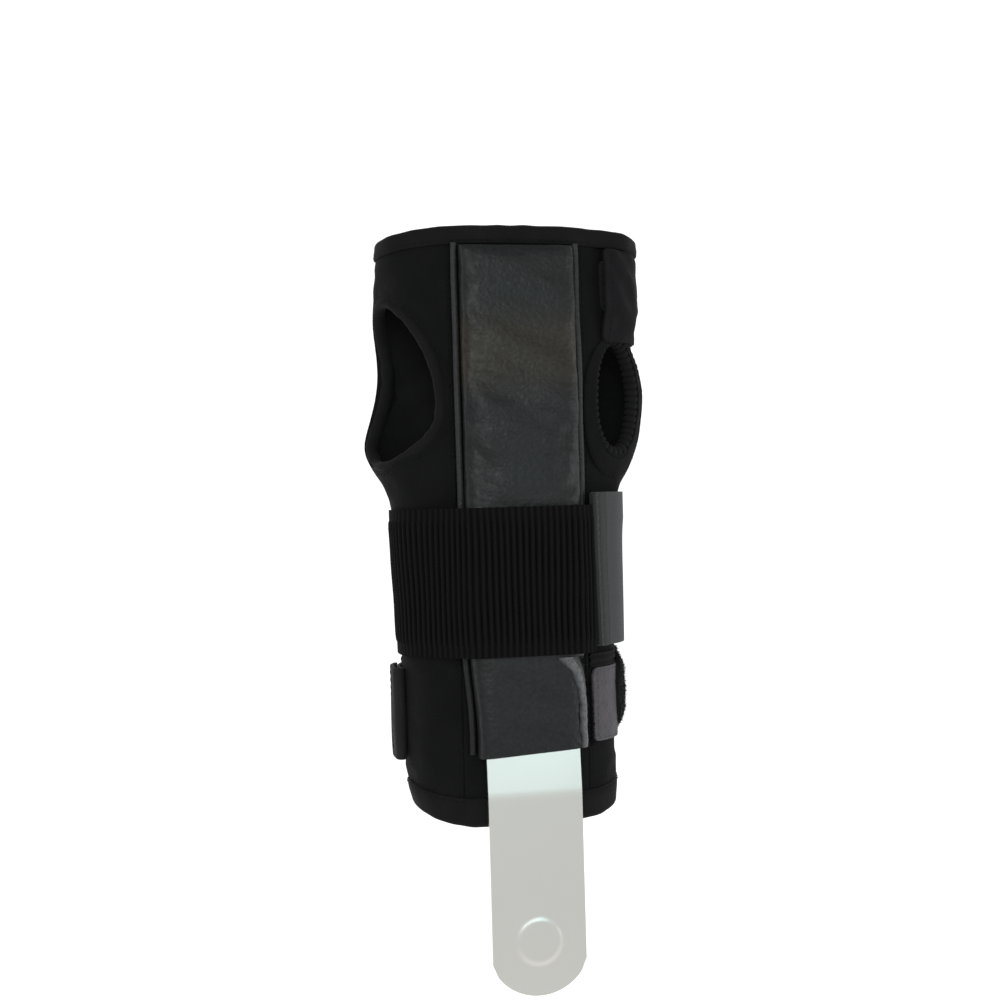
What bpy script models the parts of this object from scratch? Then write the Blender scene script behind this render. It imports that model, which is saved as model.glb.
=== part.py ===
"""Wrist splint: a padded sleeve for the palm, wrist and forearm.

An aluminium stay slides in a pocket on the palm side, and three straps close the sleeve.

Frame: metres, +Z towards the fingers, -Y the palm side, +X the little-finger (ulnar) side.
The origin lies in the hollow of the sleeve, at the wrist, level with the middle of the wide strap.
Angles run round the arm from +X: 0 is the ulnar side, 90 the back, 180 the thumb side, 270 the palm.
A lift is a distance outwards from the sleeve's outer surface.
"""

import math

import bmesh
import bpy
import numpy as np
from mathutils import Matrix, Vector

MM = 0.001

# The sleeve's outer form: height, thumb-side half width, ulnar half width, palm depth, back depth (mm).
FORM = np.array(
    [
        (-80.5, 33.4, 34.0, 20.9, 30.2),
        (-74, 36.0, 34.9, 21.2, 29.8),
        (-62, 38.0, 35.0, 21.7, 29.1),
        (-48, 38.2, 35.2, 22.0, 28.3),
        (-34, 38.3, 35.2, 22.0, 27.4),
        (-20, 38.5, 35.3, 22.0, 26.4),
        (-6, 39.1, 35.4, 22.0, 25.4),
        (8, 39.8, 35.6, 22.0, 24.3),
        (18, 40.2, 36.0, 22.0, 23.5),
        (26, 40.6, 37.4, 22.0, 22.7),
        (33, 43.2, 40.2, 22.0, 22.0),
        (40, 46.6, 43.6, 22.0, 21.1),
        (47, 50.0, 46.2, 22.0, 20.3),
        (55, 49.0, 47.4, 22.0, 19.4),
        (63, 47.2, 48.6, 22.0, 18.5),
        (72, 45.8, 47.2, 22.0, 17.6),
        (82, 45.2, 42.8, 22.0, 16.6),
        (94, 44.8, 42.6, 22.0, 15.5),
        (106, 44.5, 42.6, 22.0, 14.5),
        (118, 43.2, 42.2, 21.5, 13.5),
    ]
) * MM
SQUARENESS = 2.5  # exponent of the superellipse that every cross-section is
SLEEVE_BOTTOM = FORM[0, 0]
SLEEVE_TOP = FORM[-1, 0]

# The two ends are rounded: their edges come closer together at the two sides than over the palm.
# Each entry holds the height where an end's rounding starts, the height where it is full, and how far
# the edge has then moved at the ulnar side and at the thumb side.
END_ROUNDING = (
    (94 * MM, 111 * MM, -2.5 * MM, -2.5 * MM),
    (-59 * MM, -71 * MM, 3.0 * MM, 4.5 * MM),
)

SLEEVE_THICKNESS = 3.0 * MM
SEAM_X = 21.7 * MM  # where the palm panel meets the back panel, on the palm side
SEAM_GAP = 0.5 * MM
LAYER_GAP = 0.3 * MM

# Edge tapes, folded over the sleeve's two ends.
TAPE_THICKNESS = 0.7 * MM
HAND_TAPE_WIDTH = 5.0 * MM
CUFF_TAPE_WIDTH = 8.5 * MM

# The palm pocket, open at the cuff, and the stay that slides in it.
POCKET_HALF_WIDTH = 19.6 * MM
POCKET_TOP = 112.0 * MM
POCKET_MOUTH = -56.5 * MM
POCKET_HEIGHT = 6.0 * MM
POCKET_THICKNESS = 1.0 * MM
POCKET_SQUARENESS = 8.0
POCKET_ROUNDING = 9.0 * MM  # length over which the pocket's closed top comes down to the sleeve
PIPING_RADIUS = 1.0 * MM
PIPING_X = 20.9 * MM

STAY_WIDTH = 32.0 * MM
STAY_LENGTH = 163.3 * MM
STAY_THICKNESS = 1.6 * MM
STAY_END_RADIUS = 17.8 * MM
STAY_TIP = -137.8 * MM  # the round end that hangs out of the pocket
STAY_BACK_Y = -22.6 * MM
STAY_STEP = 1.5 * MM  # how far the bend carries the lower part away from the arm
STAY_BEND_TOP = -57.5 * MM
STAY_BEND_BOTTOM = -74.0 * MM
DIMPLE_RADIUS = 6.6 * MM
DIMPLE_DEPTH = 0.5 * MM
DIMPLE_FROM_END = 18.0 * MM

# The two thumb holes, one for each hand: the direction they face in degrees, then, in millimetres,
# how far the centre lies along the tangent, its height, and the reach sideways, up and down.
THUMB_HOLE = dict(angle=190, shift=-1.5, height=57, half_width=15.0, up=38, down=17)
SPARE_HOLE = dict(angle=-47, shift=13.4, height=60, half_width=7.6, up=19.5, down=17)
HOLE_SQUARENESS = 2.2
RIM_RADIUS = 1.7 * MM
HOLE_POINTS = 32

# Heights of the three straps: bottom and top.
WRIST_STRAP = (-24.5 * MM, 25.0 * MM)
FOREARM_STRAP = (-58.5 * MM, -27.0 * MM)
HAND_STRAP = (82.5 * MM, 109.6 * MM)

# The inner and outer face of each layer. Patches on the sleeve and the fold are measured from the
# sleeve, straps and hook patches from the taut outline that the strap takes.
LOOP = (0.3 * MM, 1.3 * MM)
FOLD = (0.3 * MM, 4.4 * MM)
BAND = (0.3 * MM, 1.9 * MM)
HOOK = (-1.0 * MM, 0.0)
STACK_HEIGHT = 2.6 * MM  # the room under a strap's end for its loop patch and its hook patch

# Where things begin and end round the arm, in degrees. A stack is where a strap's end lies on patches.
WRIST_ROOT_START = 150.0
WRIST_HINGE = 206.0
WRIST_SEAM = 314.5  # where the elastic is sewn to its tab
WRIST_TAB_END = 359.0
WRIST_LOOP_ANGLES = (-27, 52)
WRIST_HOOK_ANGLES = (-24, -4)
WRIST_STACK = (-36, 12, STACK_HEIGHT)
FOREARM_HINGE = 157.0
FOREARM_FOLD = (160.0, 187.0)
FOREARM_SEAM = 32.0
FOREARM_TAB_END = -12.0
FOREARM_LOOP_ANGLES = (-38, 28)
FOREARM_HOOK_ANGLES = (-9, 22)
FOREARM_STACK = (-14, 32, STACK_HEIGHT)
HAND_HINGE = 0.0
HAND_FLAP_EDGE = -36.0
HAND_ROOT_END = 48.0
HAND_LOOP_ANGLES = (-35, -4)
HAND_HOOK_ANGLES = (-33, -9)
HAND_STACK = (-36, 12, STACK_HEIGHT)
HINGE_GAP = 1.0  # left open between a fixed strap end and the part that swings
SEAM_SLIT = 0.4  # left open on each side of the seam between a strap and its tab

HALF_TURN = 180.0
STEP_ANGLE = 7.5  # the spacing of the grid lines round the arm
FLATNESS = 0.45  # how flat the sleeve is, for spacing the grid lines
END_STEP = 0.7  # the spacing of the last two lines at the end of a sheet


def clear_scene():
    for old in list(bpy.data.objects):
        bpy.data.objects.remove(old)


def new_collection(name):
    collection = bpy.data.collections.new(name)
    bpy.context.scene.collection.children.link(collection)
    return collection


def material(name, colour, roughness, metallic=0.0):
    made = bpy.data.materials.new(name)
    made.use_nodes = True
    shader = made.node_tree.nodes["Principled BSDF"]
    shader.inputs["Base Color"].default_value = (*colour, 1.0)
    shader.inputs["Roughness"].default_value = roughness
    shader.inputs["Metallic"].default_value = metallic
    return made


def section(z):
    """Thumb-side half width, ulnar half width, palm depth and back depth at a height."""
    return [float(np.interp(z, FORM[:, 0], FORM[:, k])) for k in range(1, 5)]


def warped(z, angle):
    """A height near one of the sleeve's ends, moved as the end's edge is at that angle."""
    side = math.cos(math.radians(angle))
    moved = z
    for start, full, ulnar_shift, thumb_shift in END_ROUNDING:
        share = min(1.0, max(0.0, (z - start) / (full - start)))
        shift = ulnar_shift if side > 0 else thumb_shift
        moved += share * shift * side**10
    return moved


def on_sleeve(angle, z, lift=0.0):
    """A point lifted off the sleeve's outer surface."""
    z = warped(z, angle)
    thumb, ulnar, palm, back = section(z)
    c, s = math.cos(math.radians(angle)), math.sin(math.radians(angle))
    across = (ulnar if c > 0 else thumb) + lift
    deep = (back if s > 0 else palm) + lift
    size = (abs(c) / across) ** SQUARENESS + (abs(s) / deep) ** SQUARENESS
    radius = size ** (-1 / SQUARENESS)
    return Vector((radius * c, radius * s, z))


def palm_y(x, z, lift=0.0):
    """y of the palm side of the sleeve at a distance across it."""
    thumb, ulnar, palm, _ = section(z)
    across = (ulnar if x > 0 else thumb) + lift
    return -(palm + lift) * (1 - (abs(x) / across) ** SQUARENESS) ** (1 / SQUARENESS)


def palm_angle(x, z):
    """The angle round the arm of a point on the palm side."""
    return math.degrees(math.atan2(palm_y(x, z), x))


def pocket_y(x, z):
    """y of the pocket's outer face: flat over the stay, down to the sleeve at its sides and its top."""
    across = min(1.0, abs(x) / POCKET_HALF_WIDTH)
    along = max(0.0, (z - POCKET_TOP + POCKET_ROUNDING) / POCKET_ROUNDING)
    arch = (1 - across**POCKET_SQUARENESS) ** (1 / POCKET_SQUARENESS)
    raised = arch * (1 - min(1.0, along) ** 3) ** (1 / 3)
    foot = palm_y(x, z) - LAYER_GAP
    face = palm_y(0, z) - LAYER_GAP - POCKET_HEIGHT
    return foot + (face - foot) * raised


def form_rows(low, high):
    """Heights from low to high, with a row at each height where the sleeve's form is stated."""
    inside = [z for z in FORM[:, 0] if low + MM < z < high - MM]
    return [low, *inside, high]


def squeezed(turn, flatness):
    """An even turn round a circle as the angle of the same point on a circle flattened in y."""
    radians = math.radians(turn)
    angle = math.degrees(math.atan2(flatness * math.sin(radians), math.cos(radians)))
    return angle + 2 * HALF_TURN * round((turn - angle) / (2 * HALF_TURN))


def spread(start, end, count):
    """Angles from start to end, closer together at the sleeve's two sides, where it curves most."""
    first, last = squeezed(start, 1 / FLATNESS), squeezed(end, 1 / FLATNESS)
    turns = [first + (last - first) * k / (count - 1) for k in range(1, count - 1)]
    return [start, *[squeezed(turn, FLATNESS) for turn in turns], end]


def angles_between(start, end):
    """Angles from start to end, a step apart."""
    first, last = squeezed(start, 1 / FLATNESS), squeezed(end, 1 / FLATNESS)
    return spread(start, end, max(2, math.ceil((last - first) / STEP_ANGLE) + 1))


def close_ended(angles):
    """The same angles with one more just inside each end, which squares the end faces to the sleeve."""
    return [angles[0], angles[0] + END_STEP, *angles[1:-1], angles[-1] - END_STEP, angles[-1]]


def grid_mesh(name, columns, rows, place, cyclic=False):
    """A grid of columns by rows points, each put where place(column, row) says."""
    mesh = bpy.data.meshes.new(name)
    bm = bmesh.new()
    bmesh.ops.create_grid(bm, x_segments=columns - 1, y_segments=rows - 1, size=1)
    for vertex in bm.verts:
        column = round((vertex.co.x + 1) / 2 * (columns - 1))
        row = round((vertex.co.y + 1) / 2 * (rows - 1))
        vertex.co = place(column, row)
    if cyclic:
        bmesh.ops.remove_doubles(bm, verts=bm.verts, dist=1e-6)
    bm.to_mesh(mesh)
    bm.free()
    return mesh


def add_object(name, mesh, surface, collection):
    made = bpy.data.objects.new(name, mesh)
    mesh.materials.append(surface)
    collection.objects.link(made)
    return made


def solidify(obj, thickness):
    """Thickness added on the side away from the surface's normals."""
    modifier = obj.modifiers.new("thickness", "SOLIDIFY")
    modifier.thickness = thickness
    modifier.offset = -1
    modifier.use_even_offset = True


def wrapped_patch(name, angle_rows, rows, thickness, surface, collection, place):
    """A sheet round the arm. angle_rows holds one list of angles for each row, all as long."""
    mesh = grid_mesh(
        name,
        len(angle_rows[0]),
        len(rows),
        lambda column, row: place(angle_rows[row][column], rows[row]),
    )
    made = add_object(name, mesh, surface, collection)
    solidify(made, thickness)
    return made


def layer(name, start, end, span, low, high, surface, collection):
    """A sheet from start to end degrees whose faces lie at the lifts low and high."""
    rows = form_rows(*span)
    angles = angles_between(start, end)
    return wrapped_patch(
        name,
        [angles] * len(rows),
        rows,
        high - low,
        surface,
        collection,
        lambda angle, z: on_sleeve(angle, z, high),
    )


def panels(fabric, collection):
    """The palm panel, from the thumb-side seam to the pocket, and the back panel for the rest."""
    rows = form_rows(SLEEVE_BOTTOM, SLEEVE_TOP)
    slit = math.degrees(SEAM_GAP / 2 / section(0)[0])
    palm_angles, back_angles = [], []
    for z in rows:
        seam = palm_angle(SEAM_X, z) + 2 * HALF_TURN
        palm_angles.append(close_ended(spread(HALF_TURN + slit, seam - slit, 22)))
        back_angles.append(close_ended(spread(seam + slit, 3 * HALF_TURN - slit, 34)))
    made = []
    for name, angles in (("palm_panel", palm_angles), ("back_panel", back_angles)):
        made.append(wrapped_patch(name, angles, rows, SLEEVE_THICKNESS, fabric, collection, on_sleeve))
    return made


def edge_tape(name, edge, width, outwards, surface, collection):
    """A tape folded over one end of the sleeve. outwards is 1 at the top and -1 at the cuff."""
    outside = LAYER_GAP + TAPE_THICKNESS
    inside = -SLEEVE_THICKNESS - outside - LAYER_GAP
    fold = edge + outwards * (outside + 2 * LAYER_GAP)
    hem = edge - outwards * width
    profile = [(outside, hem), (outside, edge), (outside - 0.4 * MM, fold)]
    profile += [(inside + 0.4 * MM, fold), (inside, edge), (inside, hem)]
    if outwards < 0:
        profile.reverse()
    angles = angles_between(0, 2 * HALF_TURN)

    def place(column, row):
        lift, z = profile[row]
        return on_sleeve(angles[column], z, lift)

    mesh = grid_mesh(name, len(angles), len(profile), place, cyclic=True)
    made = add_object(name, mesh, surface, collection)
    solidify(made, TAPE_THICKNESS)


def hole_frame(hole):
    angle = math.radians(hole["angle"])
    outwards = Vector((math.cos(angle), math.sin(angle), 0))
    along = Vector((-math.sin(angle), math.cos(angle), 0))
    centre = along * hole["shift"] * MM + Vector((0, 0, hole["height"] * MM))
    return centre, along, outwards


def hole_outline(hole, grow=0.0):
    """(distance along the tangent, height) points round a thumb hole, grown outwards."""
    power = 2 / HOLE_SQUARENESS
    points = []
    for k in range(HOLE_POINTS):
        turn = 2 * math.pi * k / HOLE_POINTS
        c, s = math.cos(turn), math.sin(turn)
        tall = hole["up"] if s > 0 else hole["down"]
        across = math.copysign(abs(c) ** power, c) * (hole["half_width"] * MM + grow)
        points.append((across, math.copysign(abs(s) ** power, s) * (tall * MM + grow)))
    return points


def inside_section(point, lift):
    thumb, ulnar, palm, back = section(point.z)
    across = (ulnar if point.x > 0 else thumb) + lift
    deep = (back if point.y > 0 else palm) + lift
    return (abs(point.x) / across) ** SQUARENESS + (abs(point.y) / deep) ** SQUARENESS < 1


def push_to_sleeve(point, direction, lift):
    """Where a line from inside the sleeve meets the surface at a lift."""
    near, far = 0.0, 80 * MM
    for _ in range(30):
        middle = (near + far) / 2
        if inside_section(point + direction * middle, lift):
            near = middle
        else:
            far = middle
    return point + direction * near


def curve_object(name, points, collection, cyclic=False, dimensions="3D"):
    data = bpy.data.curves.new(name, "CURVE")
    data.dimensions = dimensions
    spline = data.splines.new("POLY")
    spline.points.add(len(points) - 1)
    for target, point in zip(spline.points, points):
        target.co = (*point, 1.0)
    spline.use_cyclic_u = cyclic
    made = bpy.data.objects.new(name, data)
    collection.objects.link(made)
    return made


def tube(name, points, radius, surface, collection, cyclic=False):
    """A round cord along the points."""
    made = curve_object(name, points, collection, cyclic)
    made.data.bevel_depth = radius
    made.data.bevel_resolution = 2
    made.data.use_fill_caps = not cyclic
    made.data.materials.append(surface)


def to_mesh(obj, collection):
    """The same object as a mesh, its caps welded."""
    bpy.context.view_layer.update()
    evaluated = obj.evaluated_get(bpy.context.evaluated_depsgraph_get())
    mesh = bpy.data.meshes.new_from_object(evaluated)
    bm = bmesh.new()
    bm.from_mesh(mesh)
    bmesh.ops.remove_doubles(bm, verts=bm.verts, dist=1e-6)
    bmesh.ops.recalc_face_normals(bm, faces=bm.faces)
    bm.to_mesh(mesh)
    bm.free()
    name, matrix = obj.name, obj.matrix_world.copy()
    bpy.data.objects.remove(obj)
    made = bpy.data.objects.new(name, mesh)
    made.matrix_world = matrix
    collection.objects.link(made)
    return made


def outline_prism(name, outline, half_depth, collection):
    """A closed solid with a flat outline in x and y, and depth along z."""
    flat = curve_object(name, [(x, y, 0) for x, y in outline], collection, True, "2D")
    flat.data.fill_mode = "BOTH"
    flat.data.extrude = half_depth
    return to_mesh(flat, collection)


def cut(obj, cutter):
    modifier = obj.modifiers.new("cut", "BOOLEAN")
    modifier.operation = "DIFFERENCE"
    modifier.object = cutter


def as_cutter(obj):
    obj.hide_render = True
    obj.display_type = "WIRE"


def thumb_hole(name, hole, cut_panels, thread, collection, cutters):
    """A hole through the sleeve's side and the stitched rim that fills its edge."""
    centre, along, outwards = hole_frame(hole)
    reach = 45 * MM
    prism = outline_prism(name + "_cutter", hole_outline(hole, RIM_RADIUS + LAYER_GAP), reach, cutters)
    axes = Matrix((along, Vector((0, 0, 1)), outwards)).transposed()
    prism.matrix_world = Matrix.Translation(centre + outwards * (reach + 8 * MM)) @ axes.to_4x4()
    as_cutter(prism)
    for panel in cut_panels:
        cut(panel, prism)
    points = []
    for across, height in hole_outline(hole):
        start = centre + along * across + Vector((0, 0, height))
        points.append(push_to_sleeve(start, outwards, -SLEEVE_THICKNESS / 2))
    tube(name + "_rim", points, RIM_RADIUS, thread, collection, cyclic=True)


def stay_pocket(leather, collection):
    """The leather pocket for the stay: sewn down at its sides and its top, open at the cuff."""
    columns = 23
    rows = form_rows(POCKET_MOUTH, POCKET_TOP - POCKET_ROUNDING)
    rows += [POCKET_TOP - POCKET_ROUNDING * share for share in (0.6, 0.35, 0.16, 0.05, 0.0)]

    def place(column, row):
        turn = math.pi * (column / (columns - 1) - 0.5)
        x = POCKET_HALF_WIDTH * math.copysign(abs(math.sin(turn)) ** 0.6, turn)
        z = rows[row]
        return Vector((x, pocket_y(x, z), z))

    mesh = grid_mesh("stay_pocket", columns, len(rows), place)
    made = add_object("stay_pocket", mesh, leather, collection)
    solidify(made, POCKET_THICKNESS)


def piping(name, side, leather, collection):
    """The raised cord sewn along one edge of the pocket."""
    points = []
    for z in form_rows(POCKET_MOUTH, POCKET_TOP):
        x = side * PIPING_X
        points.append((x, palm_y(x, z, PIPING_RADIUS + LAYER_GAP), z))
    tube(name, points, PIPING_RADIUS, leather, collection)


def palm_stay(metal, collection, cutters):
    """The aluminium plate: round ends, a gentle step, and a pressed disc at each end."""
    top = STAY_TIP + STAY_LENGTH
    half_angle = math.asin(STAY_WIDTH / 2 / STAY_END_RADIUS)
    arc = [half_angle * (k / 8 - 1) for k in range(17)]
    rounded = [(STAY_END_RADIUS * math.sin(a), STAY_END_RADIUS * (math.cos(a) - 1)) for a in arc]
    outline = [(-x, top + z) for x, z in rounded]
    outline += [(x, STAY_TIP - z) for x, z in rounded]
    plate = outline_prism("palm_stay", outline, STAY_THICKNESS / 2, collection)
    plate.data.materials.append(metal)
    bm = bmesh.new()
    bm.from_mesh(plate.data)
    for height in np.linspace(STAY_BEND_BOTTOM, STAY_BEND_TOP, 7):
        parts = bm.verts[:] + bm.edges[:] + bm.faces[:]
        bmesh.ops.bisect_plane(bm, geom=parts, plane_co=(0, height, 0), plane_no=(0, 1, 0))
    for vertex in bm.verts:
        x, z, depth = vertex.co
        share = min(1.0, max(0.0, (STAY_BEND_TOP - z) / (STAY_BEND_TOP - STAY_BEND_BOTTOM)))
        step = STAY_STEP * share * share * (3 - 2 * share)
        vertex.co = (x, STAY_BACK_Y - STAY_THICKNESS / 2 - step - depth, z)
    bmesh.ops.recalc_face_normals(bm, faces=bm.faces)
    bm.to_mesh(plate.data)
    bm.free()
    low = ("low", STAY_TIP + DIMPLE_FROM_END, STAY_STEP)
    high = ("high", top - DIMPLE_FROM_END, 0.0)
    for label, height, step in (low, high):
        front = STAY_BACK_Y - STAY_THICKNESS - step
        add_disc(plate, "disc_" + label, height, front, "UNION", cutters)
        add_disc(plate, "dish_" + label, height, STAY_BACK_Y - step, "DIFFERENCE", cutters)


def add_disc(plate, name, height, face_y, operation, cutters):
    """One side of a pressed disc: a low cone on the front face, or the matching dish in the back."""
    half_depth = DIMPLE_DEPTH if operation == "UNION" else DIMPLE_DEPTH / 2
    bpy.ops.mesh.primitive_cone_add(
        vertices=24,
        radius1=DIMPLE_RADIUS + 1.2 * MM,
        radius2=DIMPLE_RADIUS,
        depth=2 * half_depth,
        location=(0, face_y, height),
        rotation=(math.radians(90), 0, 0),
    )
    disc = bpy.context.object
    disc.name = name
    for collection in list(disc.users_collection):
        collection.objects.unlink(disc)
    cutters.objects.link(disc)
    as_cutter(disc)
    modifier = plate.modifiers.new(name, "BOOLEAN")
    modifier.operation = operation
    modifier.object = disc


def hull_of(points):
    """The convex outline round flat points, anticlockwise."""
    points = sorted(set(points))

    def half(ordered):
        chain = []
        for p in ordered:
            while len(chain) > 1 and turn_of(chain[-2], chain[-1], p) <= 0:
                chain.pop()
            chain.append(p)
        return chain[:-1]

    return half(points) + half(points[::-1])


def turn_of(a, b, c):
    return (b[0] - a[0]) * (c[1] - a[1]) - (b[1] - a[1]) * (c[0] - a[0])


def taut_outline(z, stack):
    """The outline that a tight strap takes round the sleeve, the pocket, the piping and a stack.

    The stack holds the first and last angle of the layers below the strap, and their height.
    """
    first, last, height = stack
    points = []
    for angle in range(0, 360, 3):
        covered = first <= angle <= last or first <= angle - 360 <= last
        point = on_sleeve(angle, z, height if covered else 0.0)
        points.append((point.x, point.y))
    if POCKET_MOUTH < z < POCKET_TOP:
        for k in range(-20, 21):
            x = POCKET_HALF_WIDTH * k / 20
            points.append((x, pocket_y(x, z)))
        for side in (-1, 1):
            x = side * PIPING_X
            points.append((x, palm_y(x, z, LAYER_GAP + 2 * PIPING_RADIUS)))
    return hull_of(points)


def on_strap(outline, angle, z, lift):
    """A point of a tight strap, lifted off the outline below it."""
    direction = np.array([math.cos(math.radians(angle)), math.sin(math.radians(angle))])
    corners = np.array(outline)
    edges = np.roll(corners, -1, axis=0) - corners
    normals = np.stack([edges[:, 1], -edges[:, 0]], axis=1)
    normals /= np.linalg.norm(normals, axis=1)[:, None]
    facing = normals @ direction
    ahead = facing > 1e-6
    reach = ((normals * corners).sum(1) + lift)[ahead] / facing[ahead]
    return Vector((*(direction * reach.min()), z))


def strap_layer(name, start, end, span, stack, low, high, surface, collection, step=5.0):
    """A length of tight strap, or a patch on it, from start to end degrees."""
    rows = form_rows(*span)
    outlines = {z: taut_outline(z, stack) for z in rows}
    count = max(2, math.ceil((end - start) / step) + 1)
    return wrapped_patch(
        name,
        [close_ended(spread(start, end, count))] * len(rows),
        rows,
        high - low,
        surface,
        collection,
        lambda angle, z: on_strap(outlines[z], angle, z, high),
    )


def turned_about(obj, x, y):
    """Moves the object's origin to a vertical axis through x and y, and leaves its shape where it is."""
    obj.data.transform(Matrix.Translation((-x, -y, 0)))
    obj.location = (x, y, 0)


def hinge_point(angle, span, stack):
    """A point on the line that a strap opens about, just outside its outer face."""
    outline = taut_outline((span[0] + span[1]) / 2, stack)
    return on_strap(outline, angle, 0, BAND[1] + 2 * LAYER_GAP)


def wrist_strap(elastic, webbing, hook, loop, collection):
    """The wide elastic strap: sewn at the thumb side, drawn over the palm, closed on the ulnar side."""
    low, high = WRIST_STRAP
    span, stack = WRIST_STRAP, WRIST_STACK
    patch_span = (low + 3 * MM, high - 3 * MM)
    layer("wrist_loop_patch", *WRIST_LOOP_ANGLES, patch_span, *LOOP, loop, collection)
    end = WRIST_HINGE - HINGE_GAP
    strap_layer("wrist_strap_root", WRIST_ROOT_START, end, span, stack, *BAND, elastic, collection)
    end = WRIST_SEAM - SEAM_SLIT
    band = strap_layer("wrist_strap", WRIST_HINGE, end, span, stack, *BAND, elastic, collection, 4.0)
    axis = hinge_point(WRIST_HINGE, span, stack)
    turned_about(band, axis.x, axis.y)
    start = WRIST_SEAM + SEAM_SLIT
    tab_span = (low + 1.5 * MM, high + 3.0 * MM)
    tab = strap_layer("wrist_tab", start, WRIST_TAB_END, tab_span, stack, *BAND, webbing, collection)
    pad = strap_layer("wrist_hook", *WRIST_HOOK_ANGLES, patch_span, stack, *HOOK, hook, collection)
    axis = hinge_point(WRIST_SEAM, span, stack)
    for part in (tab, pad):
        turned_about(part, axis.x, axis.y)


def forearm_strap(elastic, webbing, hook, loop, collection):
    """The narrow strap: folded at the thumb side, drawn round the back, closed on the ulnar side."""
    low, high = FOREARM_STRAP
    span, stack = FOREARM_STRAP, FOREARM_STACK
    loop_span = (low + 3 * MM, high - 3.5 * MM)
    layer("forearm_loop_patch", *FOREARM_LOOP_ANGLES, loop_span, *LOOP, loop, collection)
    fold_span = (low - 2.5 * MM, high - 2.0 * MM)
    layer("forearm_strap_root", *FOREARM_FOLD, fold_span, *FOLD, webbing, collection)
    start, end = FOREARM_SEAM + SEAM_SLIT, FOREARM_HINGE
    band = strap_layer("forearm_strap", start, end, span, stack, *BAND, elastic, collection, 6.0)
    axis = hinge_point(FOREARM_HINGE, span, stack)
    turned_about(band, axis.x, axis.y)
    start, end = FOREARM_TAB_END, FOREARM_SEAM - SEAM_SLIT
    tab_span = (low + 5 * MM, high + 1.5 * MM)
    patch_span = (low + 6.5 * MM, high - 4 * MM)
    tab = strap_layer("forearm_tab", start, end, tab_span, stack, *BAND, webbing, collection)
    pad = strap_layer("forearm_hook", *FOREARM_HOOK_ANGLES, patch_span, stack, *HOOK, hook, collection)
    axis = hinge_point(FOREARM_SEAM, span, stack)
    for part in (tab, pad):
        turned_about(part, axis.x, axis.y)


def hand_flap(fabric, hook, loop, collection):
    """The flap that closes the sleeve on the ulnar side of the palm."""
    low, high = HAND_STRAP
    span, stack = HAND_STRAP, HAND_STACK
    patch_span = (low + 1 * MM, high - 1 * MM)
    layer("hand_loop_patch", *HAND_LOOP_ANGLES, patch_span, *LOOP, loop, collection)
    start = HAND_HINGE + HINGE_GAP
    strap_layer("hand_flap_root", start, HAND_ROOT_END, span, stack, *BAND, fabric, collection)
    flap = strap_layer("hand_flap", HAND_FLAP_EDGE, HAND_HINGE, span, stack, *BAND, fabric, collection)
    pad = strap_layer("hand_hook", *HAND_HOOK_ANGLES, patch_span, stack, *HOOK, hook, collection)
    axis = hinge_point(HAND_HINGE, span, stack)
    for part in (flap, pad):
        turned_about(part, axis.x, axis.y)


def build():
    clear_scene()
    collection = new_collection("wrist_splint")
    cutters = new_collection("cutters")
    neoprene = material("neoprene", (0.010, 0.010, 0.011), 0.9)
    thread = material("thread", (0.008, 0.008, 0.009), 0.85)
    leather = material("leather", (0.032, 0.034, 0.036), 0.45)
    piping_leather = material("piping_leather", (0.12, 0.12, 0.13), 0.45)
    elastic = material("elastic", (0.006, 0.006, 0.007), 0.9)
    webbing = material("webbing", (0.06, 0.06, 0.065), 0.8)
    loop = material("loop", (0.05, 0.05, 0.055), 0.95)
    hook = material("hook", (0.012, 0.012, 0.013), 0.7)
    metal = material("metal", (0.72, 0.75, 0.75), 0.38, 1.0)

    palm, back = panels(neoprene, collection)
    edge_tape("hand_tape", SLEEVE_TOP, HAND_TAPE_WIDTH, 1, thread, collection)
    edge_tape("cuff_tape", SLEEVE_BOTTOM, CUFF_TAPE_WIDTH, -1, thread, collection)
    thumb_hole("thumb_hole", THUMB_HOLE, (palm, back), thread, collection, cutters)
    thumb_hole("spare_hole", SPARE_HOLE, (back,), thread, collection, cutters)
    stay_pocket(leather, collection)
    piping("piping_thumb_side", -1, piping_leather, collection)
    piping("piping_ulnar_side", 1, piping_leather, collection)
    palm_stay(metal, collection, cutters)
    wrist_strap(elastic, webbing, hook, loop, collection)
    forearm_strap(elastic, webbing, hook, loop, collection)
    hand_flap(neoprene, hook, loop, collection)


build()
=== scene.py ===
"""The wrist splint's visual model: cloth, leather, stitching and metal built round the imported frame.

Lengths are metres. +Z is towards the fingers, -Y the palm side and +X the little-finger side.
Angles run round the arm in degrees: 0 little-finger side, 90 back, 180 thumb side, 270 palm.
A lift is a distance outwards from the sleeve's outer surface.
"""

import math

import bpy
import numpy as np
from mathutils import Matrix, Vector


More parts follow.
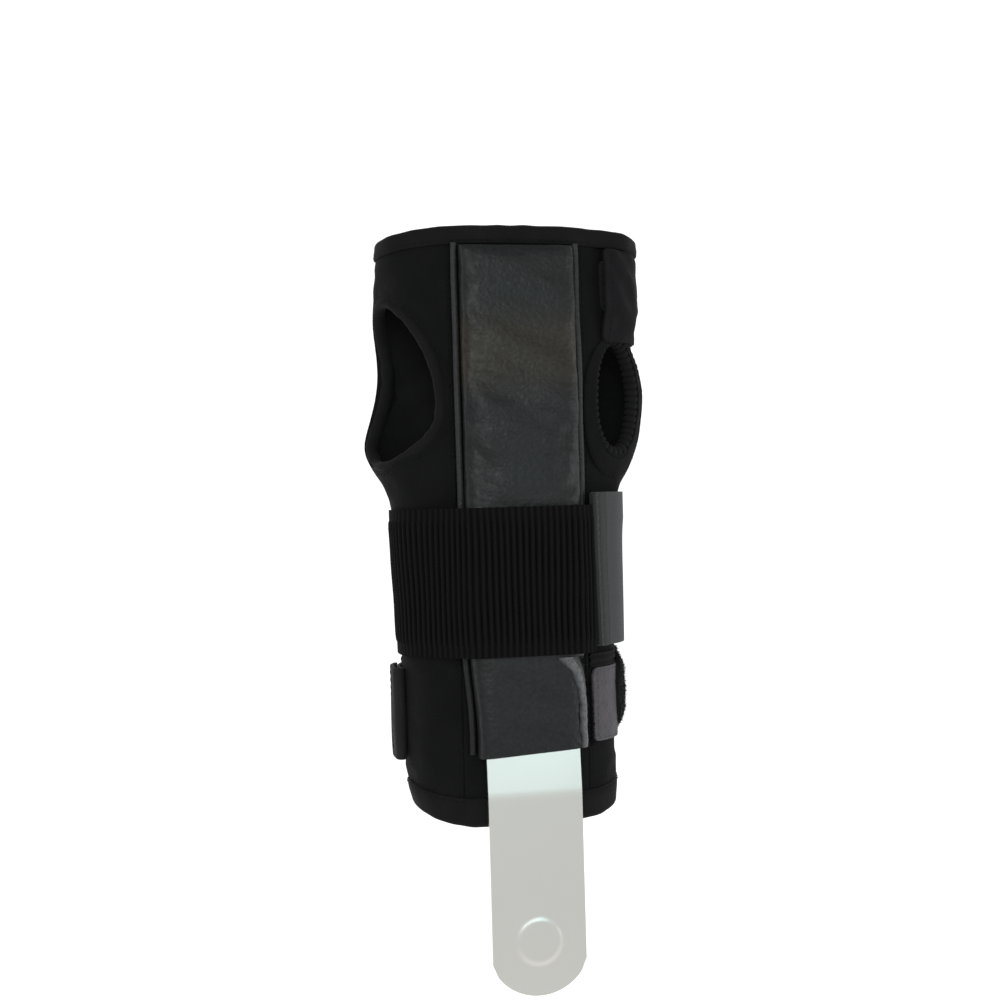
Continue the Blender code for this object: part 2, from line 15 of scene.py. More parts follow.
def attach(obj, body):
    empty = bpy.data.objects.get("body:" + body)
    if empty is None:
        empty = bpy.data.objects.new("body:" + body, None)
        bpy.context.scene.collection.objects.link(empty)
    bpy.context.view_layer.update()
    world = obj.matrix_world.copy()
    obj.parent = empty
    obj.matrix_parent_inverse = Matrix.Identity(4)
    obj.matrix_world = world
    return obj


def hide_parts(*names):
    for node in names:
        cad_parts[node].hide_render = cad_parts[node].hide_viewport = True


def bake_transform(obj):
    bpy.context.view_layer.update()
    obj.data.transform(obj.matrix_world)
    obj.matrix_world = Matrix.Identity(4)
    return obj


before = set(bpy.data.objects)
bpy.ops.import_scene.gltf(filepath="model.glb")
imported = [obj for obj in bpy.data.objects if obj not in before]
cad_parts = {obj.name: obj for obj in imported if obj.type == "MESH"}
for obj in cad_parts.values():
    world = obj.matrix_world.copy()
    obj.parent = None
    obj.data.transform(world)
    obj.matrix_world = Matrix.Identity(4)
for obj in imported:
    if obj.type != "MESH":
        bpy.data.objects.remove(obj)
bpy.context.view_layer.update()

MM = 0.001
TURN = 360.0
RANDOM_SEED = 11

# The sleeve's outer form: height, thumb-side half width, ulnar half width, palm depth, back depth (mm).
FORM = np.array(
    [
        (-80.5, 33.4, 34.0, 20.9, 30.2),
        (-74, 36.0, 34.9, 21.2, 29.8),
        (-62, 38.0, 35.0, 21.7, 29.1),
        (-48, 38.2, 35.2, 22.0, 28.3),
        (-34, 38.3, 35.2, 22.0, 27.4),
        (-20, 38.5, 35.3, 22.0, 26.4),
        (-6, 39.1, 35.4, 22.0, 25.4),
        (8, 39.8, 35.6, 22.0, 24.3),
        (18, 40.2, 36.0, 22.0, 23.5),
        (26, 40.6, 37.4, 22.0, 22.7),
        (33, 43.2, 40.2, 22.0, 22.0),
        (40, 46.6, 43.6, 22.0, 21.1),
        (47, 50.0, 46.2, 22.0, 20.3),
        (55, 49.0, 47.4, 22.0, 19.4),
        (63, 47.2, 48.6, 22.0, 18.5),
        (72, 45.8, 47.2, 22.0, 17.6),
        (82, 45.2, 44.4, 22.0, 16.6),
        (94, 44.8, 42.6, 22.0, 15.5),
        (106, 44.5, 42.6, 22.0, 14.5),
        (118, 43.2, 42.2, 21.5, 13.5),
    ]
) * MM
SQUARENESS = 2.5  # exponent of the superellipse that every cross-section is
SLEEVE_BOTTOM, SLEEVE_TOP = FORM[0, 0], FORM[-1, 0]
SLEEVE_THICKNESS = 3.0 * MM
SEAM_X = 21.7 * MM  # where the palm panel meets the back panel, on the palm side
LAYER_GAP = 0.3 * MM
# The rounding of the two ends: start and full height, and how far the edge moves at each side.
END_ROUNDING = ((94 * MM, 111 * MM, -2.5 * MM, -2.5 * MM), (-59 * MM, -71 * MM, 3.0 * MM, 4.5 * MM))
HAND_TAPE_WIDTH = 5.0 * MM
CUFF_TAPE_WIDTH = 8.5 * MM
FLAP_STAND = 4.5 * MM  # how far the hand tape stands out to lie level with the closing flap

THUMB_HOLE = dict(angle=190, shift=-1.5, height=57, half_width=15.0, up=38, down=17)
SPARE_HOLE = dict(angle=-47, shift=15.2, height=60, half_width=8.4, up=21, down=17)
HOLE_SQUARENESS = 2.2
RIM_LIFT = -1.5 * MM
RIM_RADIUS = 1.7 * MM
OVERLOCK_PITCH = 2.3 * MM

POCKET_HALF_WIDTH = 19.6 * MM
POCKET_TOP = 113.2 * MM
POCKET_MOUTH = -57.0 * MM
POCKET_HEIGHT = 6.0 * MM
POCKET_SQUARENESS = 8.0
CLOTH_SQUARENESS = 5.0  # the pocket's cloth is softer at its edges than the box the straps are drawn round
POCKET_ROUNDING = 8.0 * MM
POCKET_THICKNESS = 0.8 * MM
MOUTH_SLANT = 0.05  # rise of the pocket's mouth for each metre across it
PIPING_X = 20.9 * MM
PIPING_RADIUS = 1.0 * MM
PIPING_SIZE = (1.0 * MM, 1.12 * MM)
PIPING_CORE_SIZE = (0.6 * MM, 0.6 * MM)

STAY_HALF_WIDTH = 16.0 * MM
STAY_LENGTH = 163.3 * MM
STAY_THICKNESS = 1.6 * MM
STAY_END_RADIUS = 17.8 * MM
STAY_TIP = -137.8 * MM
STAY_X = 1.1 * MM  # the plate lies a little to the little-finger side of the pocket's middle
STAY_BACK_Y = -22.6 * MM
STAY_STEP = 1.4 * MM  # how far it stands off the arm below the pocket
STAY_BEND = (-71.0 * MM, -54.2 * MM)
STAY_EASE = 1.6 * MM
DISC_RADIUS = 6.6 * MM
DISC_CONE = 1.9 * MM
DISC_DEPTH = 0.33 * MM
DISC_FROM_END = 18.0 * MM

TAUT_TOP = 20 * MM  # above this height the wide strap keeps straight while the sleeve flares towards the hand
STACK_HEIGHT = 2.6 * MM  # loop patch and hook patch below a tab
BAND = (0.3 * MM, 1.9 * MM)  # a strap's own two faces above what lies below it
WRIST_STACK = HAND_STACK = (-36, 12)
FOREARM_STACK = (-14, 32)
WRIST_SPAN = (-24.5 * MM, 25.0 * MM)
FOREARM_SPAN = (-58.5 * MM, -27.0 * MM)
HAND_SPAN = (82.5 * MM, 109.6 * MM)
HINGE_REACH = 3.5 * MM  # HINGE_REACH = 3.5 * MM # the reach each side of a hinge handed to bends()

RIB_PITCH = 2.15 * MM  # of the wide strap's elastic
RIB_HEIGHT = 0.85 * MM
SELVEDGE = 3.8 * MM
WRIST_ROOT_START, WRIST_HINGE, WRIST_SEAM, WRIST_TAB_END = 150.0, 206.0, 314.5, 358.5
FOREARM_FOLD = (160.0, 187.0)
FOREARM_HINGE, FOREARM_SEAM, FOREARM_TAB_END = 157.0, 32.0, -19.0
HAND_FLAP_EDGE, HAND_HINGE, HAND_ROOT_END = -35.5, 0.0, 48.0

FORM_GRID = 2.0 * MM  # the spacing at which cloth is simulated
FINE_GRID = 1.0 * MM
STITCH = (0.85 * MM, 0.2 * MM, 0.18 * MM)  # half length, half width and half height
BEAD_RINGS, BEAD_SIDES = 4, 6
PIPING_STITCH = (0.8 * MM, 0.2 * MM, 0.2 * MM)
UPRIGHT = np.array([[0.0, 0.0, 1.0]])
LEVEL = np.array([1, 1, 0])  # drops a direction's height
PATCH_CORNER = 2.5 * MM
PATCH_FIBRES = 900

FLOOR_Z = -0.30
BOWL_RADIUS = 1.6
BOWL_WALL = 2.6
BOWL_SIDES = 72
BOWL_TOP = 3.0
GLOW_SPAN = (-0.5, 0.42)  # from in front of the splint to behind it
GLOW = (0.36, 1.0)  # how brightly the backdrop shines there
AIR_LIGHT = 0.3
CAMERA_AZIMUTH = math.radians(-12.0)
CAMERA_ROLL = math.radians(-1.6)
CAMERA_DISTANCE = 0.5
CAMERA_LENS = 51.43
CAMERA_SHIFT, CAMERA_HEIGHT = -0.0035, 0.0273
# Each lamp's name, place, size, power and colour.
LAMPS = (
    ("key", (-0.7, -0.9, 0.9), 0.7, 2.5, (1.0, 0.99, 0.97)),
    ("front", (-0.25, -1.2, 0.25), 0.6, 2.9, (0.92, 1.0, 1.0)),
    ("sheen", (0.25, -1.15, 0.03), 0.3, 0.27, (0.62, 0.98, 1.0)),
    ("fill", (1.0, -0.65, -0.12), 0.8, 3.6, (0.97, 0.98, 1.0)),
    ("rim", (0.3, 0.9, 0.8), 0.6, 3.0, (1.0, 1.0, 1.0)),
)


# ---------------------------------------------------------------- the sleeve's form


def section(z):
    """Thumb-side half width, ulnar half width, palm depth and back depth, their corners rounded off."""
    offsets = np.linspace(-1.5, 1.5, 9)
    weights = np.exp(-(offsets**2))
    weights /= weights.sum()
    spread = np.asarray(z)[..., None] + offsets * 5 * MM
    return [np.interp(spread, FORM[:, 0], FORM[:, k]) @ weights for k in range(1, 5)]


def warped(z, angle):
    """A height near one of the sleeve's ends, moved as the end's edge is at that angle."""
    side = np.cos(np.radians(angle))
    moved = z
    for start, full, ulnar_shift, thumb_shift in END_ROUNDING:
        share = np.clip((z - start) / (full - start), 0, 1)
        moved = moved + share * np.where(side > 0, ulnar_shift, thumb_shift) * side**10
    return moved


def sleeve(angle, z, lift=0.0):
    """Points lifted off the sleeve's outer surface."""
    angle, z, lift = np.broadcast_arrays(angle, z, lift)
    z = warped(z.astype(float), angle)
    thumb, ulnar, palm, back = section(z)
    c, s = np.cos(np.radians(angle)), np.sin(np.radians(angle))
    across = np.where(c > 0, ulnar, thumb) + lift
    deep = np.where(s > 0, back, palm) + lift
    radius = ((abs(c) / across) ** SQUARENESS + (abs(s) / deep) ** SQUARENESS) ** (-1 / SQUARENESS)
    return np.stack([radius * c, radius * s, z], -1)


def sleeve_line(angles, z, lift):
    """A line over the sleeve and its outward normals."""
    line = sleeve(angles, z, lift)
    return line, unit(sleeve(angles, z, lift + 1 * MM) - line)


def palm_y(x, z, lift=0.0):
    """y of the palm side of the sleeve at a distance across it."""
    thumb, ulnar, palm, _ = section(z)
    across = np.where(x > 0, ulnar, thumb) + lift
    return -(palm + lift) * (1 - (abs(x) / across) ** SQUARENESS) ** (1 / SQUARENESS)


def palm_angle(x, z):
    """The angle round the arm, above 180, of a point on the palm side."""
    return TURN + np.degrees(np.arctan2(palm_y(x, z), x))


def pocket_y(x, z, squareness=POCKET_SQUARENESS):
    """y of the pocket's outer face: flat over the stay, down to the sleeve at its edges and its top."""
    across = np.minimum(1.0, abs(x) / POCKET_HALF_WIDTH)
    along = np.clip((z - POCKET_TOP + POCKET_ROUNDING) / POCKET_ROUNDING, 0, 1)
    raised_by = (1 - across**squareness) ** (1 / squareness) * (1 - along**3) ** (1 / 3)
    foot = palm_y(x, z) - LAYER_GAP
    face = palm_y(0 * x, z) - LAYER_GAP - POCKET_HEIGHT
    return foot + (face - foot) * raised_by


def turn_of(a, b, c):
    """Above 0 where the way from a through b to c turns left."""
    return (b[0] - a[0]) * (c[1] - a[1]) - (b[1] - a[1]) * (c[0] - a[0])


def hull_of(points):
    """The convex outline round flat points, anticlockwise."""
    points = sorted(map(tuple, points))

    def half(ordered):
        chain = []
        for p in ordered:
            while len(chain) > 1 and turn_of(chain[-2], chain[-1], p) <= 0:
                chain.pop()
            chain.append(p)
        return chain[:-1]

    return np.array(half(points) + half(points[::-1]))


def taut_reach(z, stack, lift):
    """How far from the axis a tight strap runs at this height, for every half degree."""
    first, last = stack
    angles = np.arange(0, TURN, 1.0)
    covered = ((angles >= first) & (angles <= last)) | ((angles - TURN >= first) & (angles - TURN <= last))
    points = [sleeve(angles, z, np.where(covered, STACK_HEIGHT, 0.0))[:, :2]]
    if POCKET_MOUTH < z < POCKET_TOP:
        x = np.linspace(-1, 1, 61) * POCKET_HALF_WIDTH
        points.append(np.stack([x, pocket_y(x, np.full_like(x, z))], -1))
        x = np.array([-PIPING_X, PIPING_X])
        points.append(np.stack([x, palm_y(x, z, LAYER_GAP + 2 * PIPING_RADIUS)], -1))
    corners = hull_of(np.concatenate(points))
    edges = np.roll(corners, -1, axis=0) - corners
    normals = unit(np.stack([edges[:, 1], -edges[:, 0]], axis=1))
    fine = np.radians(np.arange(0, TURN, 0.5))
    facing = normals @ np.stack([np.cos(fine), np.sin(fine)])
    offsets = (normals * corners).sum(1)[:, None] + lift
    reach = np.where(facing > 1e-6, offsets / np.maximum(facing, 1e-6), np.inf).min(0)
    soft = np.exp(-(np.linspace(-2, 2, 13) ** 2))
    return np.convolve(np.concatenate([reach[-6:], reach, reach[:6]]), soft / soft.sum(), "valid")


def strap(angles, rows, stack, lift=0.0):
    """Points of a tight strap: one row for each height, one column for each angle."""
    table = np.array([taut_reach(min(z, TAUT_TOP) if z < POCKET_TOP / 2 else z, stack, lift) for z in rows])
    angles = np.broadcast_to(angles, (len(rows), np.shape(angles)[-1]))
    place = np.mod(angles, TURN) * 2
    low = np.floor(place).astype(int)
    share = place - low
    row = np.arange(len(rows))[:, None]
    radius = table[row, low % 720] * (1 - share) + table[row, (low + 1) % 720] * share
    c, s = np.cos(np.radians(angles)), np.sin(np.radians(angles))
    return np.stack([radius * c, radius * s, np.broadcast_to(np.asarray(rows)[:, None], radius.shape)], -1)


def strap_path(height, stack, lift=BAND[1]):
    """The face of a tight strap at one height, as points for any angles."""
    return lambda angles: strap(angles, [height], stack, lift)[0]


# ---------------------------------------------------------------- lines, grids and fields


def unit(vectors):
    return vectors / np.maximum(np.linalg.norm(vectors, axis=-1, keepdims=True), 1e-12)


def heights(low, high, spacing):
    return np.linspace(low, high, int(round((high - low) / spacing)) + 1)


def inside(value, low, high, margin=0.0):
    return (value > low - margin) & (value < high + margin)


def smooth_share(value, low, high):
    """0 to 1 between two places, level at both."""
    share = np.clip((value - low) / (high - low), 0, 1)
    return share * share * (3 - 2 * share)


def slanted_share(value, low, high, ease):
    """0 to 1 in a straight line between two places, rounded where it starts and stops."""
    shifts = np.linspace(-ease, ease, 9)
    return sum(np.clip((value + shift - low) / (high - low), 0, 1) for shift in shifts) / len(shifts)


def dent(value, place, width):
    """1 at the place and soon 0 beside it."""
    return np.exp(-(((value - place) / width) ** 2))


def palm_turn(angles):
    """The same angles counted from -90, so that a span over the little-finger side is unbroken."""
    return np.mod(angles + 90, TURN) - 90


def run_lengths(points):
    """The distance along a line of points, from its start."""
    steps = np.linalg.norm(np.diff(points, axis=0), axis=1)
    return np.concatenate([[0.0], np.cumsum(steps)])


def even_angles(start, end, path, spacing):
    """Angles whose points on the path are evenly spaced, and the distance along it to each."""
    fine = np.linspace(start, end, 900)
    run = run_lengths(path(fine))
    count = max(3, int(math.ceil(run[-1] / spacing)) + 1)
    distance = np.linspace(0, run[-1], count)
    return np.interp(distance, run, fine), distance


def resampled(points, pitch, closed=False):
    """The same line with points one pitch apart."""
    if closed:
        points = np.concatenate([points, points[:1]])
    run = run_lengths(points)
    count = max(2, int(round(run[-1] / pitch)))
    distance = np.linspace(0, run[-1], count + 1)[: count if closed else count + 1]
    return np.stack([np.interp(distance, run, points[:, k]) for k in range(3)], -1)


def grid_normals(points, wrap=False):
    """Outward normals of a grid whose columns run with the angle and whose rows run upwards."""
    if wrap:
        padded = np.concatenate([points[:, -1:], points, points[:, :1]], axis=1)
        across = np.gradient(padded, axis=1)[:, 1:-1]
    else:
        across = np.gradient(points, axis=1)
    return unit(np.cross(across, np.gradient(points, axis=0)))


def lifted(points, rise, wrap=False):
    """The grid moved along its normals."""
    return points + grid_normals(points, wrap) * np.asarray(rise)[..., None]


def waves(points, length, seed, stretch=(1, 1, 1), count=14):
    """A smooth random field of about unit size whose bumps are about one length apart."""
    rng = np.random.default_rng(RANDOM_SEED + seed)
    directions = unit(rng.normal(size=(count, 3)))
    size = rng.uniform(0.6, 1.5, (count, 1))
    pace = directions * size * (2 * math.pi / length) * np.array(stretch)
    phase = rng.uniform(0, 2 * math.pi, count)
    return np.sin(points @ pace.T + phase).sum(-1) / math.sqrt(count / 2)


def blurred(field, passes):
    """The field with each value averaged with its neighbours, several times."""
    for _ in range(passes):
        padded = np.pad(field, 1, mode="edge")
        field = (padded[:-2, 1:-1] + padded[2:, 1:-1] + padded[1:-1, :-2] + padded[1:-1, 2:] + 2 * field) / 6
    return field


def resized(field, rows, columns):
    """The field read at another number of rows and columns."""
    row, column = (np.linspace(0, 1, count) for count in field.shape)
    wide = np.array([np.interp(np.linspace(0, 1, columns), column, line) for line in field])
    return np.array([np.interp(np.linspace(0, 1, rows), row, line) for line in wide.T]).T


def corner(distance, half, radius):
    """Half width of a strap at a distance from its end, with rounded corners."""
    inside_corner = np.clip(radius - distance, 0, radius)
    return half - radius + np.sqrt(radius**2 - inside_corner**2)


def narrowed(span, half, *grids):
    """The grids with each column drawn in to its own half width about the span's middle."""
    made = [np.empty_like(points) for points in grids]
    for points, result in zip(grids, made):
        share = np.linspace(-1, 1, len(points))
        for k, reach in enumerate(half):
            wanted = sum(span) / 2 + share * reach
            for axis in range(3):
                result[:, k, axis] = np.interp(wanted, points[:, k, 2], points[:, k, axis])
    return made


# ---------------------------------------------------------------- mesh building


def piece(name, vertices, faces, surface, sharp=40, cloth=None):
    """A new object. cloth holds each vertex's place on the flat material, for the weave."""
    mesh = bpy.data.meshes.new(name)
    mesh.from_pydata(np.asarray(vertices).reshape(-1, 3).tolist(), [], [list(map(int, f)) for f in faces])
    if cloth is not None:
        flat = mesh.attributes.new("cloth", "FLOAT_VECTOR", "POINT")
        flat.data.foreach_set("vector", np.asarray(cloth, np.float32).ravel())
    mesh.shade_smooth()
    mesh.set_sharp_from_angle(angle=math.radians(sharp))
    mesh.materials.append(surface)
    made = bpy.data.objects.new(name, mesh)
    bpy.context.scene.collection.objects.link(made)
    return made


def grid_faces(rows, columns, start=0, wrap=False):
    row, column = np.meshgrid(np.arange(rows - 1), np.arange(columns if wrap else columns - 1), indexing="ij")
    ahead = (column + 1) % columns
    corners = [row * columns + column, row * columns + ahead]
    corners += [(row + 1) * columns + ahead, (row + 1) * columns + column]
    return np.stack(corners, -1).reshape(-1, 4) + start


def slab(name, outer, inner, surface, bevel=0.3, wrap=False, lining=None, sharp=40, run=None):
    """A closed sheet between an outer grid and an inner one, or a thickness, its rims rounded by a bevel.

    run is how far along the flat cloth each column lies, when that isn't the distance along the grid.
    """
    rows, columns = outer.shape[:2]
    if np.ndim(inner) == 0:
        inner = lifted(outer, -inner, wrap)
    count = rows * columns
    faces = [grid_faces(rows, columns, 0, wrap), grid_faces(rows, columns, count, wrap)[:, ::-1]]
    index = np.arange(count).reshape(rows, columns)
    borders = [index[0][::-1], index[-1]] + ([] if wrap else [index[:, 0], index[::-1, -1]])
    for border in borders:
        ahead = np.roll(border, -1) if wrap else border[1:]
        here = border if wrap else border[:-1]
        faces.append(np.stack([here, ahead, ahead + count, here + count], -1))
    run = run_lengths(outer[rows // 2]) if run is None else run
    flat = np.stack([np.broadcast_to(run, (rows, columns)), outer[..., 2], 0 * outer[..., 2]], -1)
    vertices = np.concatenate([outer.reshape(-1, 3), inner.reshape(-1, 3)])
    made = piece(name, vertices, np.concatenate(faces), surface, sharp, np.stack([flat, flat]))
    if lining:
        made.data.materials.append(lining)
        for polygon in made.data.polygons[len(faces[0]) : 2 * len(faces[0])]:
            polygon.material_index = 1
    if bevel:
        modifier = made.modifiers.new("soft_edges", "BEVEL")
        modifier.width = bevel * MM
        modifier.segments = 2
        modifier.limit_method = "ANGLE"
        modifier.angle_limit = math.radians(50)
        apply_modifiers(made)
    return made


def apply_modifiers(obj):
    """Keeps the evaluated mesh and drops the modifiers."""
    bpy.context.view_layer.update()
    evaluated = obj.evaluated_get(bpy.context.evaluated_depsgraph_get())
    mesh = bpy.data.meshes.new_from_object(evaluated)
    obj.modifiers.clear()
    obj.data = mesh


def tube(name, points, normals, size, surface, closed=True, sides=12):
    """A cord along points, size[0] deep along the normals and size[1] wide across them."""
    if closed:
        along = np.roll(points, -1, axis=0) - np.roll(points, 1, axis=0)
    else:
        along = np.gradient(points, axis=0)
    side = unit(np.cross(normals, unit(along)))
    turn = np.linspace(0, 2 * math.pi, sides, endpoint=False)[:, None]
    deep, wide = (np.broadcast_to(np.asarray(s), len(points))[:, None, None] for s in size)
    rings = points[:, None] + normals[:, None] * deep * np.cos(turn) + side[:, None] * wide * np.sin(turn)
    last = (len(points) - 1) * sides
    faces = list(grid_faces(len(points), sides, 0, True))
    here = np.arange(sides)
    if closed:
        ahead = np.roll(here, -1)
        faces += list(np.stack([last + here, last + ahead, ahead, here], -1))
    else:
        faces += [here[::-1], last + here]
    return piece(name, rings, faces, surface)


def beads(name, centres, along, up, size, surface):
    """Many small rounded stitches as one piece: size is (half length, half width, half height)."""
    along = unit(np.asarray(along))
    up = unit(up - along * (up * along).sum(-1, keepdims=True))
    axes = [axis[:, None] * reach for axis, reach in zip((along, np.cross(up, along), up), size)]
    tilt = np.linspace(0, math.pi, BEAD_RINGS + 2)[1:-1, None]
    turn = np.linspace(0, 2 * math.pi, BEAD_SIDES, endpoint=False)
    ring = [np.cos(tilt) + 0 * turn, np.sin(tilt) * np.cos(turn), np.sin(tilt) * np.sin(turn)]
    shape = np.concatenate([[[1, 0, 0]], np.stack(ring, -1).reshape(-1, 3), [[-1, 0, 0]]])
    last = len(shape) - 1
    pairs = [(k, (k + 1) % BEAD_SIDES) for k in range(BEAD_SIDES)]
    faces = [[0, 1 + k, 1 + ahead] for k, ahead in pairs]
    faces += grid_faces(BEAD_RINGS, BEAD_SIDES, 1, True)[:, ::-1].tolist()
    faces += [[last, last - BEAD_SIDES + ahead, last - BEAD_SIDES + k] for k, ahead in pairs]
    vertices = centres[:, None] + sum(shape[None, :, k, None] * axes[k] for k in range(3))
    every = [[index + k * len(shape) for index in face] for k in range(len(centres)) for face in faces]
    return piece(name, vertices, every, surface, 80)


def spikes(name, roots, directions, lengths, radius, surface):
    """Many thin fibres as one piece, each a three-sided cone."""
    directions = unit(directions)
    helper = np.where(abs(directions[:, 2:]) < 0.9, [[0, 0, 1.0]], [[1.0, 0, 0]])
    first = unit(np.cross(directions, helper))
    second = np.cross(directions, first)
    turns = 2 * math.pi * np.arange(3) / 3
    corners = [roots + radius * (first * math.cos(turn) + second * math.sin(turn)) for turn in turns]
    vertices = np.stack(corners + [roots + directions * lengths[:, None]], 1)
    shape = [[0, 1, 3], [1, 2, 3], [2, 0, 3], [0, 2, 1]]
    faces = [[4 * k + index for index in face] for k in range(len(roots)) for face in shape]
    return piece(name, vertices, faces, surface, 80)


def stitch_row(name, points, normals, pitch, surface, size=STITCH, closed=False):
    """A row of stitches along a line that lies on a surface with those normals."""
    line = resampled(points, pitch, closed)
    nearest = [int(np.argmin(((points - place) ** 2).sum(1))) for place in line]
    return beads(name, line, np.gradient(line, axis=0), normals[nearest], size, surface)


def join(objects, name):
    """One object holding the meshes of several."""
    bpy.ops.object.select_all(action="DESELECT")
    for obj in objects:
        obj.select_set(True)
    bpy.context.view_layer.objects.active = objects[0]
    bpy.ops.object.join()
    objects[0].name = name
    return objects[0]


def belongs(obj, body, slot, *nodes):
    """Fastens a finished piece to its body and hides the nodes it stands for."""
    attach(obj, body)
    if nodes:
        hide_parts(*nodes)


def sewn(name, points, normals, pitch, thread, **options):
    """A row of stitches that stays with the sleeve."""
    belongs(stitch_row(name, points, normals, pitch, thread, **options), "sleeve", "binding")


def bends(obj, a, b, slot, turning, path, *nodes, reach=HINGE_REACH):
    """Bakes the cloth's place into its mesh and hides the nodes it stands for. a and b, the bodies before and
    after the hinge, are not used.

    turning is the hinge's angle and the direction, 1 or -1, in which the strap runs on from it.
    """
    angle, direction = turning
    points = path(angle + direction * np.linspace(-15, 15, 301))
    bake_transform(obj)
    if nodes:
        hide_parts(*nodes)


CLOTH = dict(quality=5, mass=0.3, tension_stiffness=12, compression_stiffness=12, shear_stiffness=4)
CLOTH_FRAMES = 14


def settle(points, pinned, growth, bending):
    """Runs a cloth simulation on a grid whose pinned points are held, and gives back where it comes to rest.

    growth is how much the cloth is larger than its place, which is what makes it wrinkle.
    """
    rows, columns = points.shape[:2]
    mesh = bpy.data.meshes.new("settling")
    mesh.from_pydata(points.reshape(-1, 3).tolist(), [], grid_faces(rows, columns).tolist())
    cloth = bpy.data.objects.new("settling", mesh)
    scene = bpy.context.scene
    scene.collection.objects.link(cloth)
    group = cloth.vertex_groups.new(name="held")
    for index in np.flatnonzero(pinned.ravel()).tolist():
        group.add([index], 1.0, "REPLACE")
    modifier = cloth.modifiers.new("cloth", "CLOTH")
    settings = modifier.settings
    for name, value in CLOTH.items():
        setattr(settings, name, value)
    settings.bending_stiffness = bending
    settings.vertex_group_mass = "held"
    settings.shrink_min = -growth
    settings.effector_weights.gravity = 0
    modifier.collision_settings.use_self_collision = False
    modifier.point_cache.frame_end = CLOTH_FRAMES
    for number in range(1, CLOTH_FRAMES + 1):
        scene.frame_set(number)
    evaluated = cloth.evaluated_get(bpy.context.evaluated_depsgraph_get())
    moved = np.empty(rows * columns * 3)
    evaluated.data.vertices.foreach_get("co", moved)
    bpy.data.objects.remove(cloth)
    scene.frame_set(1)
    return moved.reshape(rows, columns, 3)


def rise_of(points, pinned, growth, cap, bending=0.4):
    """How far a cloth simulation lifts each point along the surface's normal, within the cap."""
    moved = settle(points, pinned, growth, bending)
    rise = ((moved - points) * grid_normals(points)).sum(-1)
    return blurred(np.tanh(rise / cap) * cap, 1)


# ---------------------------------------------------------------- surfaces


def shader(name, colour, roughness, specular=0.15, metallic=0.0, sheen=0.0):
    made = bpy.data.materials.new(name)
    made.use_nodes = True
    base = made.node_tree.nodes["Principled BSDF"].inputs
    base["Base Color"].default_value = (*colour, 1)
    base["Roughness"].default_value = roughness
    base["Specular IOR Level"].default_value = specular
    base["Metallic"].default_value = metallic
    base["Sheen Weight"].default_value = sheen
    return made


def places(surface, cloth):
    """Where each point is: on the flat cloth, or in the object's own coordinates."""
    nodes = surface.node_tree.nodes
    if not cloth:
        return nodes.new("ShaderNodeTexCoord").outputs["Object"]
    source = nodes.new("ShaderNodeAttribute")
    source.attribute_name = "cloth"
    return source.outputs["Vector"]


def pattern(surface, kind, scale, stretch=(1, 1, 1), cloth=False, **settings):
    """What a texture node gives."""
    nodes, links = surface.node_tree.nodes, surface.node_tree.links
    mapping = nodes.new("ShaderNodeMapping")
    mapping.inputs["Scale"].default_value = stretch
    texture = nodes.new("ShaderNodeTex" + kind)
    texture.inputs["Scale"].default_value = scale
    for name, value in settings.items():
        setattr(texture, name, value)
    links.new(places(surface, cloth), mapping.inputs["Vector"])
    links.new(mapping.outputs["Vector"], texture.inputs["Vector"])
    return texture.outputs["Distance" if kind == "Voronoi" else "Fac"]


def bands(surface, pitch, direction="X"):
    """Even ridges across the flat cloth, one pitch apart."""
    return pattern(surface, "Wave", math.pi / 10 / pitch, cloth=True, bands_direction=direction)


def raised(surface, field, height):
    """Adds a relief of that height to the surface, on top of any it has."""
    nodes, links = surface.node_tree.nodes, surface.node_tree.links
    bump = nodes.new("ShaderNodeBump")
    bump.inputs["Strength"].default_value = 1.0
    bump.inputs["Distance"].default_value = height
    normal = nodes["Principled BSDF"].inputs["Normal"]
    if normal.is_linked:
        links.new(normal.links[0].from_socket, bump.inputs["Normal"])
    links.new(field, bump.inputs["Height"])
    links.new(bump.outputs["Normal"], normal)


def ramped(surface, field, stops, target="Base Color"):
    """Drives a colour, or a value given as a grey, from the field through (place, colour) stops."""
    nodes, links = surface.node_tree.nodes, surface.node_tree.links
    ramp = nodes.new("ShaderNodeValToRGB")
    elements = ramp.color_ramp.elements
    while len(elements) < len(stops):
        elements.new(0.5)
    for element, (place, colour) in zip(elements, stops):
        element.position = place
        element.color = (*colour, 1)
    links.new(field, ramp.inputs["Fac"])
    links.new(ramp.outputs["Color"], nodes["Principled BSDF"].inputs[target])
    return ramp.outputs["Color"]


def mapped(surface, field, **values):
    """The field after a Map Range node with those inputs, such as To_Min."""
    share = surface.node_tree.nodes.new("ShaderNodeMapRange")
    for name, value in values.items():
        share.inputs[name.replace("_", " ")].default_value = value
    surface.node_tree.links.new(field, share.inputs["Value"])
    return share.outputs["Result"]


def speckled(surface, tone, scale, light, dark):
    """Scales the tone from pore to pore, between light in the middle of each and dark at its edge."""
    nodes, links = surface.node_tree.nodes, surface.node_tree.links
    mixed = nodes.new("ShaderNodeVectorMath")
    mixed.operation = "SCALE"
    grain = mapped(surface, pattern(surface, "Voronoi", scale), To_Min=light, To_Max=dark)
    links.new(tone, mixed.inputs[0])
    links.new(grain, mixed.inputs["Scale"])
    links.new(mixed.outputs["Vector"], nodes["Principled BSDF"].inputs["Base Color"])


def gradient(surface, axis, low, high, cloth=False):
    """0 to 1 between two places along an axis of the object, or of its flat cloth."""
    split = surface.node_tree.nodes.new("ShaderNodeSeparateXYZ")
    surface.node_tree.links.new(places(surface, cloth), split.inputs["Vector"])
    return mapped(surface, split.outputs[axis], From_Min=low, From_Max=high)


